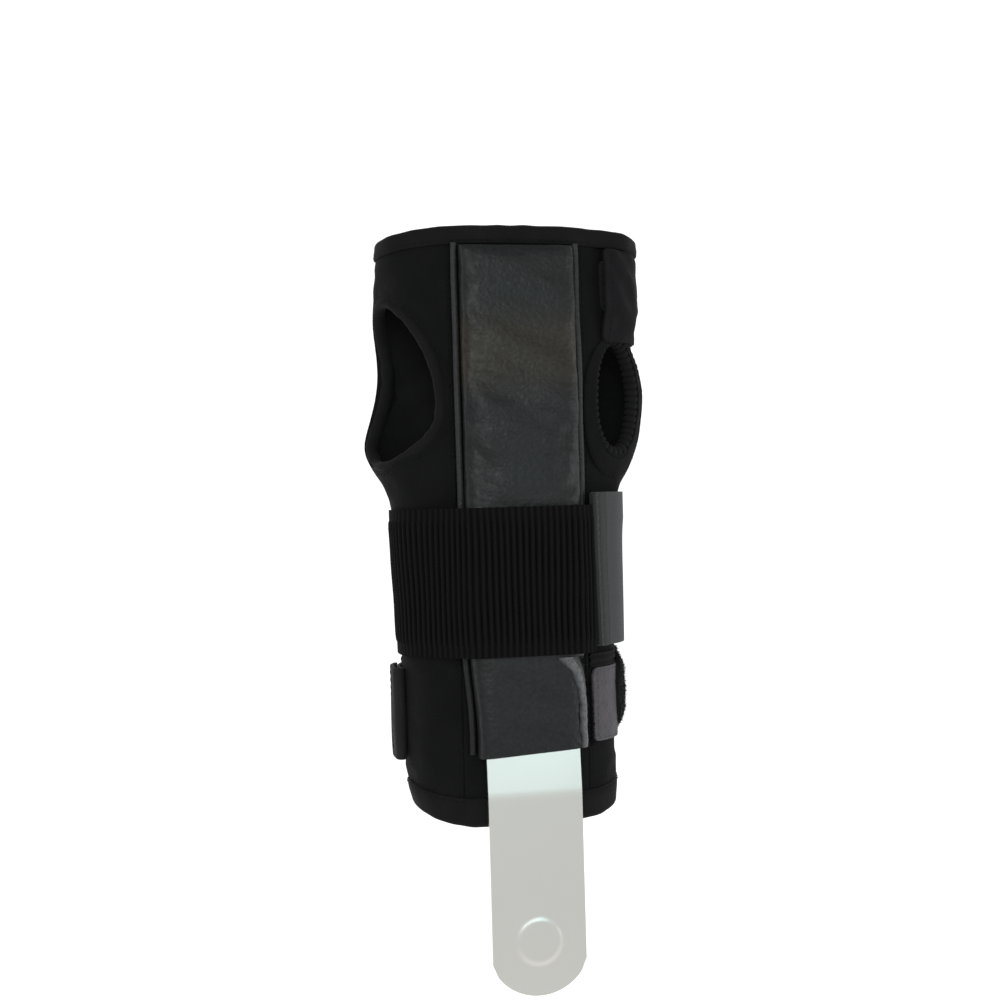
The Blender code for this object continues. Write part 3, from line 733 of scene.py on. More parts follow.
def mottled(surface, colour, spread, scale):
    """Lets the colour vary softly by a share either way."""
    darker, lighter = (tuple(share * c for c in colour) for share in (1 - spread, 1 + spread))
    ramped(surface, pattern(surface, "Noise", scale), [(0.35, darker), (0.65, lighter)])


def grey(level):
    return (level, level, level)


def knit_surface(name, colour, roughness=0.9):
    """Brushed jersey over foam: fine loops and a faint unevenness."""
    made = shader(name, colour, roughness, 0.07, sheen=0.02)
    raised(made, pattern(made, "Voronoi", 1500), 0.05 * MM)
    raised(made, pattern(made, "Noise", 260), 0.25 * MM)
    mottled(made, colour, 0.1, 90)
    return made


def pile_surface(name, colour):
    """The felted loops of a closing tape."""
    made = shader(name, colour, 0.95, 0.1, sheen=0.15)
    raised(made, pattern(made, "Noise", 1500), 0.2 * MM)
    raised(made, pattern(made, "Voronoi", 700), 0.15 * MM)
    mottled(made, colour, 0.08, 240)
    return made


def leather_surface():
    """Grained leatherette, dark grey with a greenish cast, rubbed browner below the fingers."""
    made = shader("pocket_leather", (0.03, 0.033, 0.034), 0.4, 0.34)
    raised(made, pattern(made, "Voronoi", 850, feature="SMOOTH_F1"), 0.14 * MM)
    raised(made, pattern(made, "Noise", 420, (1, 1, 0.5)), 0.14 * MM)
    raised(made, pattern(made, "Noise", 70, (0.5, 1, 1.4)), 0.07 * MM)
    cool, green, brown = (0.0065, 0.007, 0.0078), (0.0065, 0.0083, 0.0078), (0.0175, 0.0148, 0.0095)
    stops = [(0.0, cool), (0.5, green), (0.69, cool), (0.755, brown)]
    stops += [(0.82, brown), (0.88, green), (1.0, cool)]
    speckled(made, ramped(made, gradient(made, "Z", POCKET_MOUTH, POCKET_TOP), stops), 780, 1.5, 0.6)
    ramped(made, pattern(made, "Noise", 600), [(0.4, grey(0.5)), (0.7, grey(0.36))], "Roughness")
    return made


def piping_surface():
    """The same leatherette on the cords, with painted shade darkening them below the wide strap."""
    made = shader("piping_leather", (0.05, 0.05, 0.052), 0.5, 0.3)
    raised(made, pattern(made, "Voronoi", 1200), 0.12 * MM)
    # painted shade: the cords are darker below the wide strap, where the pocket lies in shadow
    stops = [(0.0, grey(0.007)), (0.3, grey(0.009)), (0.4, grey(0.022)), (1.0, grey(0.020))]
    speckled(made, ramped(made, gradient(made, "Z", POCKET_MOUTH, POCKET_TOP), stops), 500, 1.3, 0.8)
    return made


def edging_surface():
    """The pale, pitted underside of the leatherette, where it is rolled over at the pocket's corner, with a
    painted shadow along its edge by the pocket and darker again at its outer edge.
    """
    made = shader("rolled_edge", (0.11, 0.115, 0.12), 0.6, 0.3)
    raised(made, pattern(made, "Voronoi", 900), 0.35 * MM)
    # painted shadow at the edge next to the pocket; the outer edge is darker too
    stops = [(0.0, grey(0.012)), (0.36, (0.115, 0.118, 0.122))]
    stops += [(0.9, (0.14, 0.143, 0.147)), (1.0, grey(0.06))]
    speckled(made, ramped(made, gradient(made, "X", 0.0, 4.0 * MM, cloth=True), stops), 900, 0.55, 1.2)
    return made


def metal_surface():
    """Satin aluminium, drawn lengthways."""
    made = shader("stay_aluminium", (0.86, 0.845, 0.80), 0.27, 0.5, metallic=1.0)
    raised(made, pattern(made, "Noise", 700, (1, 1, 0.04)), 0.012 * MM)
    return made


def elastic_surface(name):
    made = shader(name, (0.0062, 0.0056, 0.0062), 0.9, 0.06)
    raised(made, bands(made, 0.5 * MM, "Y"), 0.08 * MM)
    raised(made, pattern(made, "Noise", 900), 0.08 * MM)
    return made


def ribbed_surface():
    """The wide elastic: a painted highlight on its ribs and painted shade in its grooves."""
    made = elastic_surface("ribbed_elastic")
    # painted highlight on the ribs and painted shade in the grooves, following the ribs' geometry
    stops = [(0.0, (0.0033, 0.0030, 0.0033)), (1.0, (0.0090, 0.0081, 0.0090))]
    ramped(made, bands(made, RIB_PITCH), stops)
    return made


def webbing_surface():
    """A grey brushed weave, darker at the hem by the elastic."""
    made = shader("tab_webbing", (0.06, 0.0605, 0.063), 0.8, 0.2, sheen=0.08)
    raised(made, bands(made, 0.7 * MM), 0.06 * MM)
    raised(made, bands(made, 0.6 * MM, "Y"), 0.06 * MM)
    stops = [(0.0, grey(0.02)), (0.12, grey(0.032)), (0.7, grey(0.036))]
    stops += [(0.8, (0.044, 0.0445, 0.0465)), (1.0, (0.050, 0.0505, 0.052))]
    ramped(made, gradient(made, "X", 0.0, 8 * MM, cloth=True), stops)
    return made


KNIT = knit_surface("knit", (0.0074, 0.0074, 0.0079))
# painted light: the flap is the sleeve's knit painted lighter, as if lit from the little-finger side
FLAP_KNIT_PAINTED_LIGHT = knit_surface("flap_knit_painted_light", (0.0105, 0.0102, 0.0112))
LINING = knit_surface("lining", (0.013, 0.013, 0.014))
BINDING = knit_surface("binding", (0.0098, 0.0096, 0.0098), 0.8)
THREAD = shader("thread", (0.006, 0.006, 0.0062), 0.7, 0.12)
GREY_THREAD = shader("grey_thread", (0.05, 0.049, 0.051), 0.7, 0.15)
PALE_THREAD = shader("pale_thread", (0.085, 0.08, 0.084), 0.8, 0.12)
LEATHER = leather_surface()
PIPING = piping_surface()
EDGING = edging_surface()
METAL = metal_surface()
ELASTIC = elastic_surface("elastic")
RIBBED = ribbed_surface()
WEBBING = webbing_surface()
WEBBING_DARK = knit_surface("dark_webbing", (0.018, 0.0175, 0.0185), 0.75)
LOOP = pile_surface("loop_tape", (0.090, 0.084, 0.089))
DARK_LOOP = pile_surface("dark_loop_tape", (0.012, 0.012, 0.0125))
HOOK = shader("hook_tape", (0.014, 0.014, 0.0145), 0.5, 0.35)


# ---------------------------------------------------------------- the sleeve


def sleeve_grid(first, last, rows, spacing):
    """Angles and points between two lines on the sleeve, one angle of each line for every row."""
    middle = len(rows) // 2
    angles, _ = even_angles(first[middle], last[middle], lambda a: sleeve(a, rows[middle]), spacing)
    share = (angles - angles[0]) / (angles[-1] - angles[0])
    table = first[:, None] + (last - first)[:, None] * share
    return table, sleeve(table, rows[:, None])


def held_down(angles, points):
    """Where a strap, the pocket or an edge tape keeps the sleeve's cloth from rising."""
    x, y, z = points[..., 0], points[..., 1], points[..., 2]
    turn = palm_turn(angles)
    covered = inside(z, *WRIST_SPAN, 2 * MM)
    covered |= inside(z, *FOREARM_SPAN, 3 * MM) & inside(turn, -40, 190)
    covered |= inside(z, *HAND_SPAN, 2 * MM) & inside(turn, -43, 50)
    covered |= (abs(x) < 22.5 * MM) & (y < 0)
    covered |= z < SLEEVE_BOTTOM + CUFF_TAPE_WIDTH + 1 * MM
    covered |= z > SLEEVE_TOP - HAND_TAPE_WIDTH - 3 * MM
    return covered


def cloth_panel(name, first_x, last_x, seed):
    """A foam panel between two palm-side seams, going round from the first to the second."""

    def grid(spacing, stretch):
        rows = heights(SLEEVE_BOTTOM, SLEEVE_TOP, spacing)
        first = palm_angle(first_x, rows) - TURN * (first_x > last_x)
        return sleeve_grid(first, palm_angle(last_x, rows), rows, spacing * stretch)

    angles, points = grid(FORM_GRID, 1.0)
    pinned = held_down(angles, points)
    pinned[[0, -1]] = pinned[:, [0, -1]] = True
    rise = rise_of(points, pinned, 0.03, 0.9 * MM)
    rise = rise + waves(points, 26 * MM, seed, (1, 1, 0.6)) * 0.12 * MM
    angles, points = grid(FINE_GRID, 1.25)
    fine = blurred(resized(rise, *angles.shape), 2)
    free = blurred(1.0 - held_down(angles, points), 6)
    return slab(name, lifted(points, fine * free), SLEEVE_THICKNESS, KNIT, bevel=0.5, lining=LINING)


def hole_line(hole, grow=0.0, count=128):
    """The outline of a thumb hole on a flat plane: distances across it, and heights."""
    turn = np.linspace(0, 2 * math.pi, count, endpoint=False)
    c, s = np.cos(turn), np.sin(turn)
    power = 2 / HOLE_SQUARENESS
    tall = np.where(s > 0, hole["up"], hole["down"]) * MM + grow
    across = np.sign(c) * abs(c) ** power * (hole["half_width"] * MM + grow)
    return across, hole["height"] * MM + np.sign(s) * abs(s) ** power * tall


def way_out(hole):
    """The direction from the arm's middle out through the hole."""
    angle = math.radians(hole["angle"])
    return np.array([math.cos(angle), math.sin(angle), 0])


def flat_outline(hole, across, height):
    """A hole's outline as points on the upright plane through the arm's middle that faces the hole."""
    outline = np.cross(UPRIGHT, way_out(hole)) * (hole["shift"] * MM + across)[:, None]
    outline[:, 2] = height
    return outline


def on_sleeve_from(hole, across, height, lift):
    """Where lines through a hole's flat outline meet the sleeve's surface at a lift."""
    start, outwards = flat_outline(hole, across, height), way_out(hole)
    near, far = np.zeros(len(start)), np.full(len(start), 80 * MM)
    thumb, ulnar, palm, back = section(height)
    for _ in range(30):
        middle = (near + far) / 2
        x, y, _ = (start + outwards * middle[:, None]).T
        wide = np.where(x > 0, ulnar, thumb) + lift
        deep = np.where(y > 0, back, palm) + lift
        within = (abs(x) / wide) ** SQUARENESS + (abs(y) / deep) ** SQUARENESS < 1
        near, far = np.where(within, middle, near), np.where(within, far, middle)
    return start + outwards * near[:, None]


def cut_hole(hole, *panels):
    """Cuts a hole through the panels along its outline."""
    flat = flat_outline(hole, *hole_line(hole, RIM_RADIUS * 0.5))
    count = len(flat)
    here = np.arange(count)
    ahead = np.roll(here, -1)
    sides = np.stack([here, ahead, ahead + count, here + count], -1)
    ends = [flat + way_out(hole) * reach * MM for reach in (8, 90)]
    cutter = piece("cutter", np.concatenate(ends), [here[::-1], here + count, *sides], KNIT)
    for panel in panels:
        modifier = panel.modifiers.new("hole", "BOOLEAN")
        modifier.operation = "DIFFERENCE"
        modifier.solver = "MANIFOLD"
        modifier.object = cutter
        apply_modifiers(panel)
    bpy.data.objects.remove(cutter)


def build_sleeve():
    """The two foam panels, their holes, and the stitches beside the seams between them."""
    gap = 0.02 * MM
    palm = cloth_panel("palm_cloth", -SEAM_X + gap, SEAM_X - gap, 1)
    back = cloth_panel("back_cloth", SEAM_X + gap, -SEAM_X - gap, 2)
    cut_hole(THUMB_HOLE, palm, back)
    cut_hole(SPARE_HOLE, back)
    for panel, node in ((palm, "palm_panel"), (back, "back_panel")):
        belongs(panel, "sleeve", "neoprene", node)
    rows = heights(SLEEVE_BOTTOM + 9 * MM, SLEEVE_TOP - 6 * MM, 2 * MM)
    for side, label in ((-1, "thumb_side"), (1, "ulnar_side")):
        x = np.full_like(rows, side * 23.4 * MM)
        line, normals = sleeve_line(palm_angle(x, rows), rows, 0.05 * MM)
        sewn("seam_stitches_" + label, line, normals, 2.4 * MM, THREAD)


def edge_profile(outwards, width):
    """(lift, height from the edge) along a tape from its outer hem, over the edge, to its inner hem."""
    top = 0.85 * MM
    half = (top + SLEEVE_THICKNESS + 1.1 * MM) / 2
    lifts = [0.4 * MM, top, top + 0.1 * MM, top, top]
    sides = [-width, -width + 0.6 * MM, -width * 0.55, -width * 0.25, -0.6 * MM]
    fold = np.radians(np.linspace(0, 180, 15))
    over = [(top - half + half * math.cos(a), 1.9 * MM * math.sin(a) - 0.3 * MM) for a in fold]
    inner = [(top - 2 * half, side) for side in sides[::-1]]
    return np.array([(lift, outwards * side) for lift, side in [*zip(lifts, sides), *over, *inner]])


def edge_tape(name, edge, width, outwards, node, seed, flap=None):
    """A bias tape folded over one end of the sleeve, with a row of stitches by its hem.

    flap gives the two angles between which the tape stands out to lie level with the closing flap.
    """
    angles = even_angles(0, TURN, lambda a: sleeve(a, edge), 1.2 * MM)[0][:-1]
    profile = edge_profile(outwards, width)[::-outwards]
    stand = 0 * angles
    if flap:
        turn = palm_turn(angles)
        stand = FLAP_STAND * smooth_share(turn, flap[0] - 5, flap[0] + 7)
        stand = stand * (1 - smooth_share(turn, flap[1] - 7, flap[1] + 5))
    shares = (profile[:, 0] - profile[:, 0].min()) / np.ptp(profile[:, 0])
    rows = [sleeve(angles, edge + side, lift + stand * share) for (lift, side), share in zip(profile, shares)]
    points = np.stack(rows[::-1])
    ripple = waves(points, 9 * MM, seed, (1, 1, 0.3)) * 0.07 * MM
    tape = slab(name, lifted(points, ripple, True), 0.7 * MM, BINDING, bevel=0.2, wrap=True)
    belongs(tape, "sleeve", "binding", node)
    angles = np.linspace(0, TURN, 240, endpoint=False)
    if flap:
        turn = palm_turn(angles)
        angles = angles[(turn < flap[0] - 6) | (turn > flap[1] + 6)]
        angles = np.sort(np.mod(angles - flap[1], TURN)) + flap[1]
    line, normals = sleeve_line(angles, edge - outwards * (width - 1.3 * MM), 0.9 * MM)
    sewn(name + "_stitches", line, normals, 2.5 * MM, THREAD, closed=not flap)


def rim_line(hole, grow, lift, count):
    """A line round a hole's edge, and its outward normals."""
    line = on_sleeve_from(hole, *hole_line(hole, grow, count), lift)
    line = resampled(line, run_lengths(np.concatenate([line, line[:1]]))[-1] / count, closed=True)
    outwards = way_out(hole)
    along = unit(np.roll(line, -1, axis=0) - np.roll(line, 1, axis=0))
    return line, unit(outwards - along * (along @ outwards)[:, None])


def thumb_rim():
    """The narrow tape rolled round the thumb hole's edge, with a row of stitches beside it."""
    line, normals = rim_line(THUMB_HOLE, 0.2 * MM, RIM_LIFT, 360)
    ripple = 1 + 0.05 * waves(line, 5 * MM, 5)
    rim = tube("thumb_hole_tape", line, normals, (2.15 * MM * ripple, 1.6 * MM * ripple), BINDING)
    belongs(rim, "sleeve", "binding", "thumb_hole_rim")
    line, normals = rim_line(THUMB_HOLE, 3.0 * MM, 0.1 * MM, 240)
    sewn("thumb_hole_stitches", line, normals, 2.4 * MM, THREAD, closed=True)


def spare_rim():
    """The overlocked edge of the little-finger-side hole: tight thread loops make it scalloped."""
    line, normals = rim_line(SPARE_HOLE, 0.1 * MM, RIM_LIFT, 600)
    loops = int(round(run_lengths(np.concatenate([line, line[:1]]))[-1] / OVERLOCK_PITCH))
    phase = np.linspace(0, loops * math.pi, len(line), endpoint=False)
    swell = 0.78 + 0.34 * abs(np.sin(phase)) ** 0.8
    rim = tube("spare_hole_tape", line, normals, (2.1 * MM * swell, 1.8 * MM * swell), BINDING, sides=14)
    belongs(rim, "sleeve", "binding", "spare_hole_rim")
    turn = np.linspace(0, 2 * math.pi, 16, endpoint=False)
    rings = []
    for place in (int(round(k * len(line) / loops)) for k in range(loops)):
        along = unit(line[(place + 1) % len(line)] - line[place - 1])
        side = np.cross(normals[place], along) * 1.48 * MM + along * 0.35 * MM
        circle = line[place] + np.outer(np.cos(turn), normals[place] * 1.72 * MM)
        circle = circle + np.outer(np.sin(turn), side)
        rings.append(tube("loop", circle, unit(circle - line[place]), (0.13 * MM, 0.13 * MM), THREAD, sides=6))
    belongs(join(rings, "spare_hole_loops"), "sleeve", "binding")


def spare_facing():
    """The band of cloth sewn round the little-finger-side hole, wider below it."""
    count = 260
    s = np.sin(np.linspace(0, 2 * math.pi, count, endpoint=False))
    width = 4.8 * MM + 4.4 * MM * np.maximum(0, -s) ** 2 - 2.4 * MM * np.maximum(0, s) ** 2
    rings = []
    for share in np.linspace(1.0, 0.28, 9):
        outline = hole_line(SPARE_HOLE, width * share, count)
        rings.append(on_sleeve_from(SPARE_HOLE, *outline, 0.95 * MM if share < 0.97 else 0.75 * MM))
    points = np.stack(rings)[::-1]
    normals = grid_normals(points, wrap=True)
    normals = normals * np.sign(normals @ way_out(SPARE_HOLE))[..., None]
    points = points + normals * (waves(points, 8 * MM, 6) * 0.1 * MM)[..., None]
    facing = slab("spare_hole_facing", points[:, ::-1], 0.5 * MM, KNIT, bevel=0.15, wrap=True)
    belongs(facing, "sleeve", "neoprene")
    sewn("spare_hole_stitches", points[-2], normals[-2], 2.2 * MM, THREAD, closed=True)


# ---------------------------------------------------------------- the pocket, its piping and the stay


def thumb_side_shift(z):
    """How far the pocket's thumb-side edge comes in towards the mouth."""
    return 2.2 * MM * (1 - smooth_share(z, -52 * MM, -16 * MM))


def pocket_points(columns, spacing):
    """The pocket's outer face; its mouth is cut a little higher on the little-finger side."""
    turn = np.linspace(-math.pi / 2, math.pi / 2, columns)
    flat_x = POCKET_HALF_WIDTH * np.sign(turn) * abs(np.sin(turn)) ** 0.6
    rows = heights(POCKET_MOUTH, POCKET_TOP, spacing)[:, None]
    z = rows + MOUTH_SLANT * flat_x * np.clip(1 - (rows - POCKET_MOUTH) / (20 * MM), 0, 1)
    flat_x, z = np.broadcast_arrays(flat_x, z)
    x = flat_x + thumb_side_shift(z) * np.clip(-flat_x / POCKET_HALF_WIDTH, 0, 1)
    y = pocket_y(flat_x, z, CLOTH_SQUARENESS) + palm_y(x, z) - palm_y(flat_x, z)
    return np.stack([x, y, z], -1)


def pocket_slack(z):
    """How free each point of the pocket is to crease: not under the wide strap nor at the edges."""
    edge = 1 - abs(np.linspace(-1, 1, z.shape[1]))
    slack = blurred(1.0 - inside(z, *WRIST_SPAN, 2 * MM), 3) * smooth_share(edge, 0.1, 0.3)
    above = smooth_share(z, -25 * MM, 35 * MM) * (1 - 0.6 * smooth_share(z, 68 * MM, 85 * MM))
    return slack * (0.25 + 0.75 * above) * smooth_share(z, POCKET_MOUTH, POCKET_MOUTH + 5 * MM)


def build_pocket():
    """The leatherette pocket that holds the stay, with slanting creases."""
    coarse = pocket_points(27, FORM_GRID)
    pinned = inside(coarse[..., 2], *WRIST_SPAN, 1 * MM)
    pinned[[0, -1]] = True
    pinned[:, :3] = pinned[:, -3:] = True
    settled = rise_of(coarse, pinned, 0.035, 0.5 * MM, 0.2)
    points = pocket_points(61, FINE_GRID)
    settled = blurred(resized(settled, *points.shape[:2]), 2)
    tilted = points @ np.array([[1, 0, 0.45], [0, 1, 0], [-0.45, 0, 1]])
    creases = waves(tilted, 24 * MM, 9, (0.35, 0.3, 1.3)) * 0.55 * MM
    creases = creases + waves(tilted, 7 * MM, 10, (0.5, 0.3, 1.5)) * 0.05 * MM
    rise = np.clip(settled + creases, -0.6 * MM, 1.3 * MM) * pocket_slack(points[..., 2])
    pocket = slab("pocket_cloth", lifted(points, rise), POCKET_THICKNESS, LEATHER, bevel=0.25, lining=LINING)
    belongs(pocket, "sleeve", "pocket_leather", "stay_pocket")


def rolled_corner():
    """The pale strip where the pocket's lower corner is rolled over, with frayed threads along it."""
    rows = heights(POCKET_MOUTH + 1.0 * MM, -25.5 * MM, 0.5 * MM)
    marks = np.array([-57, -50, -42, -36, -30, -25]) * MM
    left = np.interp(rows, marks, np.array([16.9, 16.6, 16.4, 15.8, 13.4, 8.4]) * MM)
    right = np.interp(rows, marks, np.array([20.5, 20.4, 20.2, 19.6, 18.4, 16.4]) * MM)
    left = left + waves(np.stack([0 * rows, 0 * rows, rows], -1), 7 * MM, 21) * 0.25 * MM
    share = np.linspace(0, 1, 15)
    x = left[:, None] + (right - left)[:, None] * share
    z = np.broadcast_to(rows[:, None], x.shape)
    points = np.stack([x, pocket_y(x, z, CLOTH_SQUARENESS), z], -1)
    crown = 0.12 * MM + 0.6 * MM * np.sin(math.pi * share**0.7)
    outer = lifted(points, crown + waves(points, 2.4 * MM, 22) * 0.08 * MM)
    strip = slab("pocket_rolled_corner", outer, lifted(points, 0.05 * MM), EDGING, bevel=0.12)
    belongs(strip, "sleeve", "piping_leather")
    frayed_threads(rows, right)


def frayed_threads(rows, right):
    """Loose threads beside the rolled corner, rooted on the pocket or, beyond its edge, on the sleeve."""
    rng = np.random.default_rng(RANDOM_SEED + 23)
    count = 1500
    edge = 19.4 * MM
    z = rng.uniform(rows[0], rows[-1], count)
    x = np.interp(z, rows, right) + rng.uniform(-0.2, 2.6, count) * MM
    on_pocket = pocket_y(np.minimum(x, edge), z, CLOTH_SQUARENESS)
    roots = np.stack([x, np.where(x > edge, palm_y(x, z, 1.6 * MM), on_pocket), z], -1)
    directions = np.array([0.9, -0.5, 0.0]) + rng.normal(size=(count, 3)) * 0.5
    lengths = rng.uniform(0.5, 1.7, count) * MM
    fray = spikes("pocket_frayed_threads", roots, directions, lengths, 0.09 * MM, THREAD)
    belongs(fray, "sleeve", "binding")


def build_piping():
    """The cords along the pocket's edges; the little-finger-side one is bare below the wide strap."""
    z = heights(POCKET_MOUTH, POCKET_TOP, 1 * MM)
    for side, label in ((-1, "thumb_side"), (1, "ulnar_side")):
        x = np.full_like(z, side * PIPING_X)
        x = x + waves(np.stack([x, 0 * z, z], -1), 30 * MM, 30 + side) * 0.12 * MM
        if side < 0:
            x = x + thumb_side_shift(z)
        line = np.stack([x, palm_y(x, z, PIPING_RADIUS + LAYER_GAP), z], -1)
        normals = unit(np.stack([x, palm_y(x, z, 3 * MM), z], -1) - line)
        bare = (side > 0) & (z < WRIST_SPAN[0] + 1 * MM)
        run = line[~bare], normals[~bare]
        cord = tube("piping_cord_" + label, *run, PIPING_SIZE, PIPING, closed=False, sides=14)
        belongs(cord, "sleeve", "piping_leather", "piping_" + label)
        if bare.any():
            core = tube("piping_core", line[bare], normals[bare], PIPING_CORE_SIZE, BINDING, closed=False)
            belongs(core, "sleeve", "binding")
        seam = sleeve(palm_angle(x + side * 1.6 * MM, z), z, 0.12 * MM)
        sewn("piping_stitches_" + label, seam, normals, 2.2 * MM, THREAD, size=PIPING_STITCH)


def stay_half_width(z):
    """Half the plate's width at a height: round at both ends, the arcs' corners eased."""
    from_end = np.minimum(z - STAY_TIP, STAY_TIP + STAY_LENGTH - z)
    inside_arc = np.clip(STAY_END_RADIUS - from_end, 0, STAY_END_RADIUS)
    arc = np.sqrt(np.maximum(STAY_END_RADIUS**2 - inside_arc**2, 0))
    eased = arc - 0.6 * MM * dent(arc, STAY_HALF_WIDTH, 1.2 * MM)
    return np.minimum(eased, STAY_HALF_WIDTH)


def build_stay():
    """The aluminium plate: stepped off the arm below the pocket, a shallow disc pressed near each end."""
    top = STAY_TIP + STAY_LENGTH
    ease = np.array([0.05, 0.2, 0.45, 0.8, 1.2, 1.7, 2.3]) * MM
    middle = heights(STAY_TIP + 2.8 * MM, top - 2.8 * MM, 0.5 * MM)
    rows = np.concatenate([STAY_TIP + ease, middle, top - ease[::-1]])[:, None]
    x = stay_half_width(rows) * np.linspace(-1, 1, 65)
    rows = np.broadcast_to(rows, x.shape)
    back = STAY_BACK_Y - STAY_STEP * (1 - slanted_share(rows, *STAY_BEND, STAY_EASE))
    for height in (STAY_TIP + DISC_FROM_END, top - DISC_FROM_END):
        away = np.hypot(x, rows - height)
        back = back - DISC_DEPTH * (1 - smooth_share(away, DISC_RADIUS - 0.2 * MM, DISC_RADIUS + DISC_CONE))
    back = back + waves(np.stack([x, 0 * x, rows], -1), 60 * MM, 40) * 0.05 * MM
    outer, inner = (np.stack([x + STAY_X, y, rows], -1) for y in (back - STAY_THICKNESS, back))
    plate = slab("stay_plate", outer, inner, METAL, sharp=35)
    belongs(plate, "stay", "stay_aluminium", "palm_stay")


# ---------------------------------------------------------------- the straps


def along_grid(points, rows, columns, lift=0.0):
    """Part of one row or column of a grid, lifted, and its normals."""
    normals = grid_normals(points)[rows, columns]
    return points[rows, columns] + normals * lift, normals


def wrist_elastic():
    """The wide elastic: upright ribs between two plain selvedges."""
    low, high = WRIST_SPAN
    path = strap_path(0.0, WRIST_STACK)
    angles, run = even_angles(WRIST_ROOT_START, WRIST_SEAM - 0.9, path, 0.27 * MM)
    ribbed = heights(low + SELVEDGE + 0.6 * MM, high - SELVEDGE - 0.6 * MM, 1.9 * MM)
    selvedges = [heights(start, start + SELVEDGE, 0.8 * MM) for start in (low, high - SELVEDGE)]
    rows = np.concatenate([selvedges[0], ribbed, selvedges[1]])
    base = strap(angles, rows, WRIST_STACK, BAND[1] - RIB_HEIGHT)
    sway = waves(base, 40 * MM, 50) * 0.16 * MM
    rib = abs(np.sin(math.pi * (run + sway) / RIB_PITCH)) ** 0.6
    plain = smooth_share(rows, high - SELVEDGE - 1 * MM, high - SELVEDGE)
    plain = plain + 1 - smooth_share(rows, low + SELVEDGE, low + SELVEDGE + 1 * MM)
    weft = 0.35 + 0.1 * np.sin(math.pi * run / RIB_PITCH) ** 2
    rise = (rib * (1 - plain)[:, None] + weft * plain[:, None]) * RIB_HEIGHT
    outer = lifted(base, rise + waves(base, 22 * MM, 51) * 0.06 * MM)
    inner = strap(angles, rows, WRIST_STACK, BAND[0])
    band = slab("wrist_elastic", outer, inner, RIBBED, bevel=0, sharp=60, run=run + sway)
    turning = (WRIST_HINGE, 1)
    bends(band, "sleeve", "wrist_strap", "elastic", turning, path, "wrist_strap", "wrist_strap_root")
    z = heights(low + 2 * MM, high - 2 * MM, 1 * MM)
    for angle in (WRIST_ROOT_START + 2.5, WRIST_ROOT_START + 7):
        line = strap(np.array([angle]), z, WRIST_STACK, BAND[1])[:, 0]
        sewn(f"wrist_root_stitches_{angle:.0f}", line, unit(line * LEVEL), 2.4 * MM, THREAD)


def slanted(start, end, slant, rows, path, spacing):
    """A table of angles whose first column leans by slant degrees from the strap's middle to its edge."""
    angles, run = even_angles(start, end, path, spacing)
    middle, half = (rows[0] + rows[-1]) / 2, (rows[-1] - rows[0]) / 2
    lean = slant * (middle - rows)[:, None] / half
    share = (angles - angles[0]) / (angles[-1] - angles[0])
    return angles + lean * (1 - share) ** 2, run


def wrist_tab():
    """The grey end of the wide strap: a folded hem by the seam, stitched, and rounded corners."""
    low, high = WRIST_SPAN[0] + 1.7 * MM, WRIST_SPAN[1] + 4.2 * MM
    seams = (2.3 * MM, 6.3 * MM)
    path = strap_path(0.0, WRIST_STACK)
    rows = heights(low, high, 1.0 * MM)
    angles, run = slanted(WRIST_SEAM - 0.3, WRIST_TAB_END, 1.6, rows, path, 0.4 * MM)
    hem = smooth_share(run, 0.0, 0.9 * MM) * (1 - smooth_share(run, 5.0 * MM, 5.9 * MM))
    groove = 0.7 * dent(run, seams[0], 0.45 * MM) + dent(run, seams[1], 0.5 * MM)
    base = strap(angles, rows, WRIST_STACK, BAND[1] - 0.3 * MM)
    crease = waves(base, 24 * MM, 55, (1, 1, 0.4)) * 0.1 * MM
    outer = lifted(base, 0.75 * MM * hem - 0.3 * MM * groove + crease)
    inner = strap(angles, rows, WRIST_STACK, BAND[0])
    halves = corner(run[-1] - run, (high - low) / 2, 4.5 * MM)
    halves = halves - 0.5 * MM * (1 - smooth_share(run, 0, 1.5 * MM))
    outer, inner = narrowed((low, high), halves, outer, inner)
    turning = (WRIST_SEAM, 1)
    tab = slab("wrist_tab_cloth", outer, inner, WEBBING)
    bends(tab, "wrist_strap", "wrist_tab", "tab_webbing", turning, path, "wrist_tab")
    for number, distance in enumerate(seams):
        line = along_grid(outer, slice(2, -2), int(np.argmin(abs(run - distance))), 0.1 * MM)
        row = stitch_row(f"wrist_tab_stitches_{number}", *line, 2.6 * MM, GREY_THREAD)
        bends(row, "wrist_strap", "wrist_tab", "tab_webbing", turning, path)
    column = int(np.argmin(abs(run - (run[-1] - 2.2 * MM))))
    line = along_grid(outer, slice(5, -5), column, 0.05 * MM)
    row = stitch_row("wrist_tab_end_stitches", *line, 2.6 * MM, GREY_THREAD)
    belongs(row, "wrist_tab", "tab_webbing")


def hook_pad(name, start, end, low, high, stack, body, node):
    """The hook side of a closing tape: a backing with rows of small hooks that point at the sleeve."""
    path = strap_path((low + high) / 2, stack, 0.0)
    angles, _ = even_angles(start, end, path, 1.5 * MM)
    outer = strap(angles, heights(low, high, 1.5 * MM), stack, 0.22 * MM)
    backing = slab(name + "_backing", outer, 0.55 * MM, HOOK, bevel=0.15)
    angles, _ = even_angles(start + 1, end - 1, path, 1.15 * MM)
    roots = strap(angles, heights(low + 1 * MM, high - 1 * MM, 1.15 * MM), stack, -0.3 * MM)
    normals = grid_normals(roots).reshape(-1, 3)
    centres = roots.reshape(-1, 3) - normals * 0.2 * MM
    size = (0.34 * MM, 0.2 * MM, 0.2 * MM)
    hooks = beads(name + "_hooks", centres, normals, UPRIGHT, size, HOOK)
    belongs(join([backing, hooks], name + "_tape"), body, "hook_tape", node)


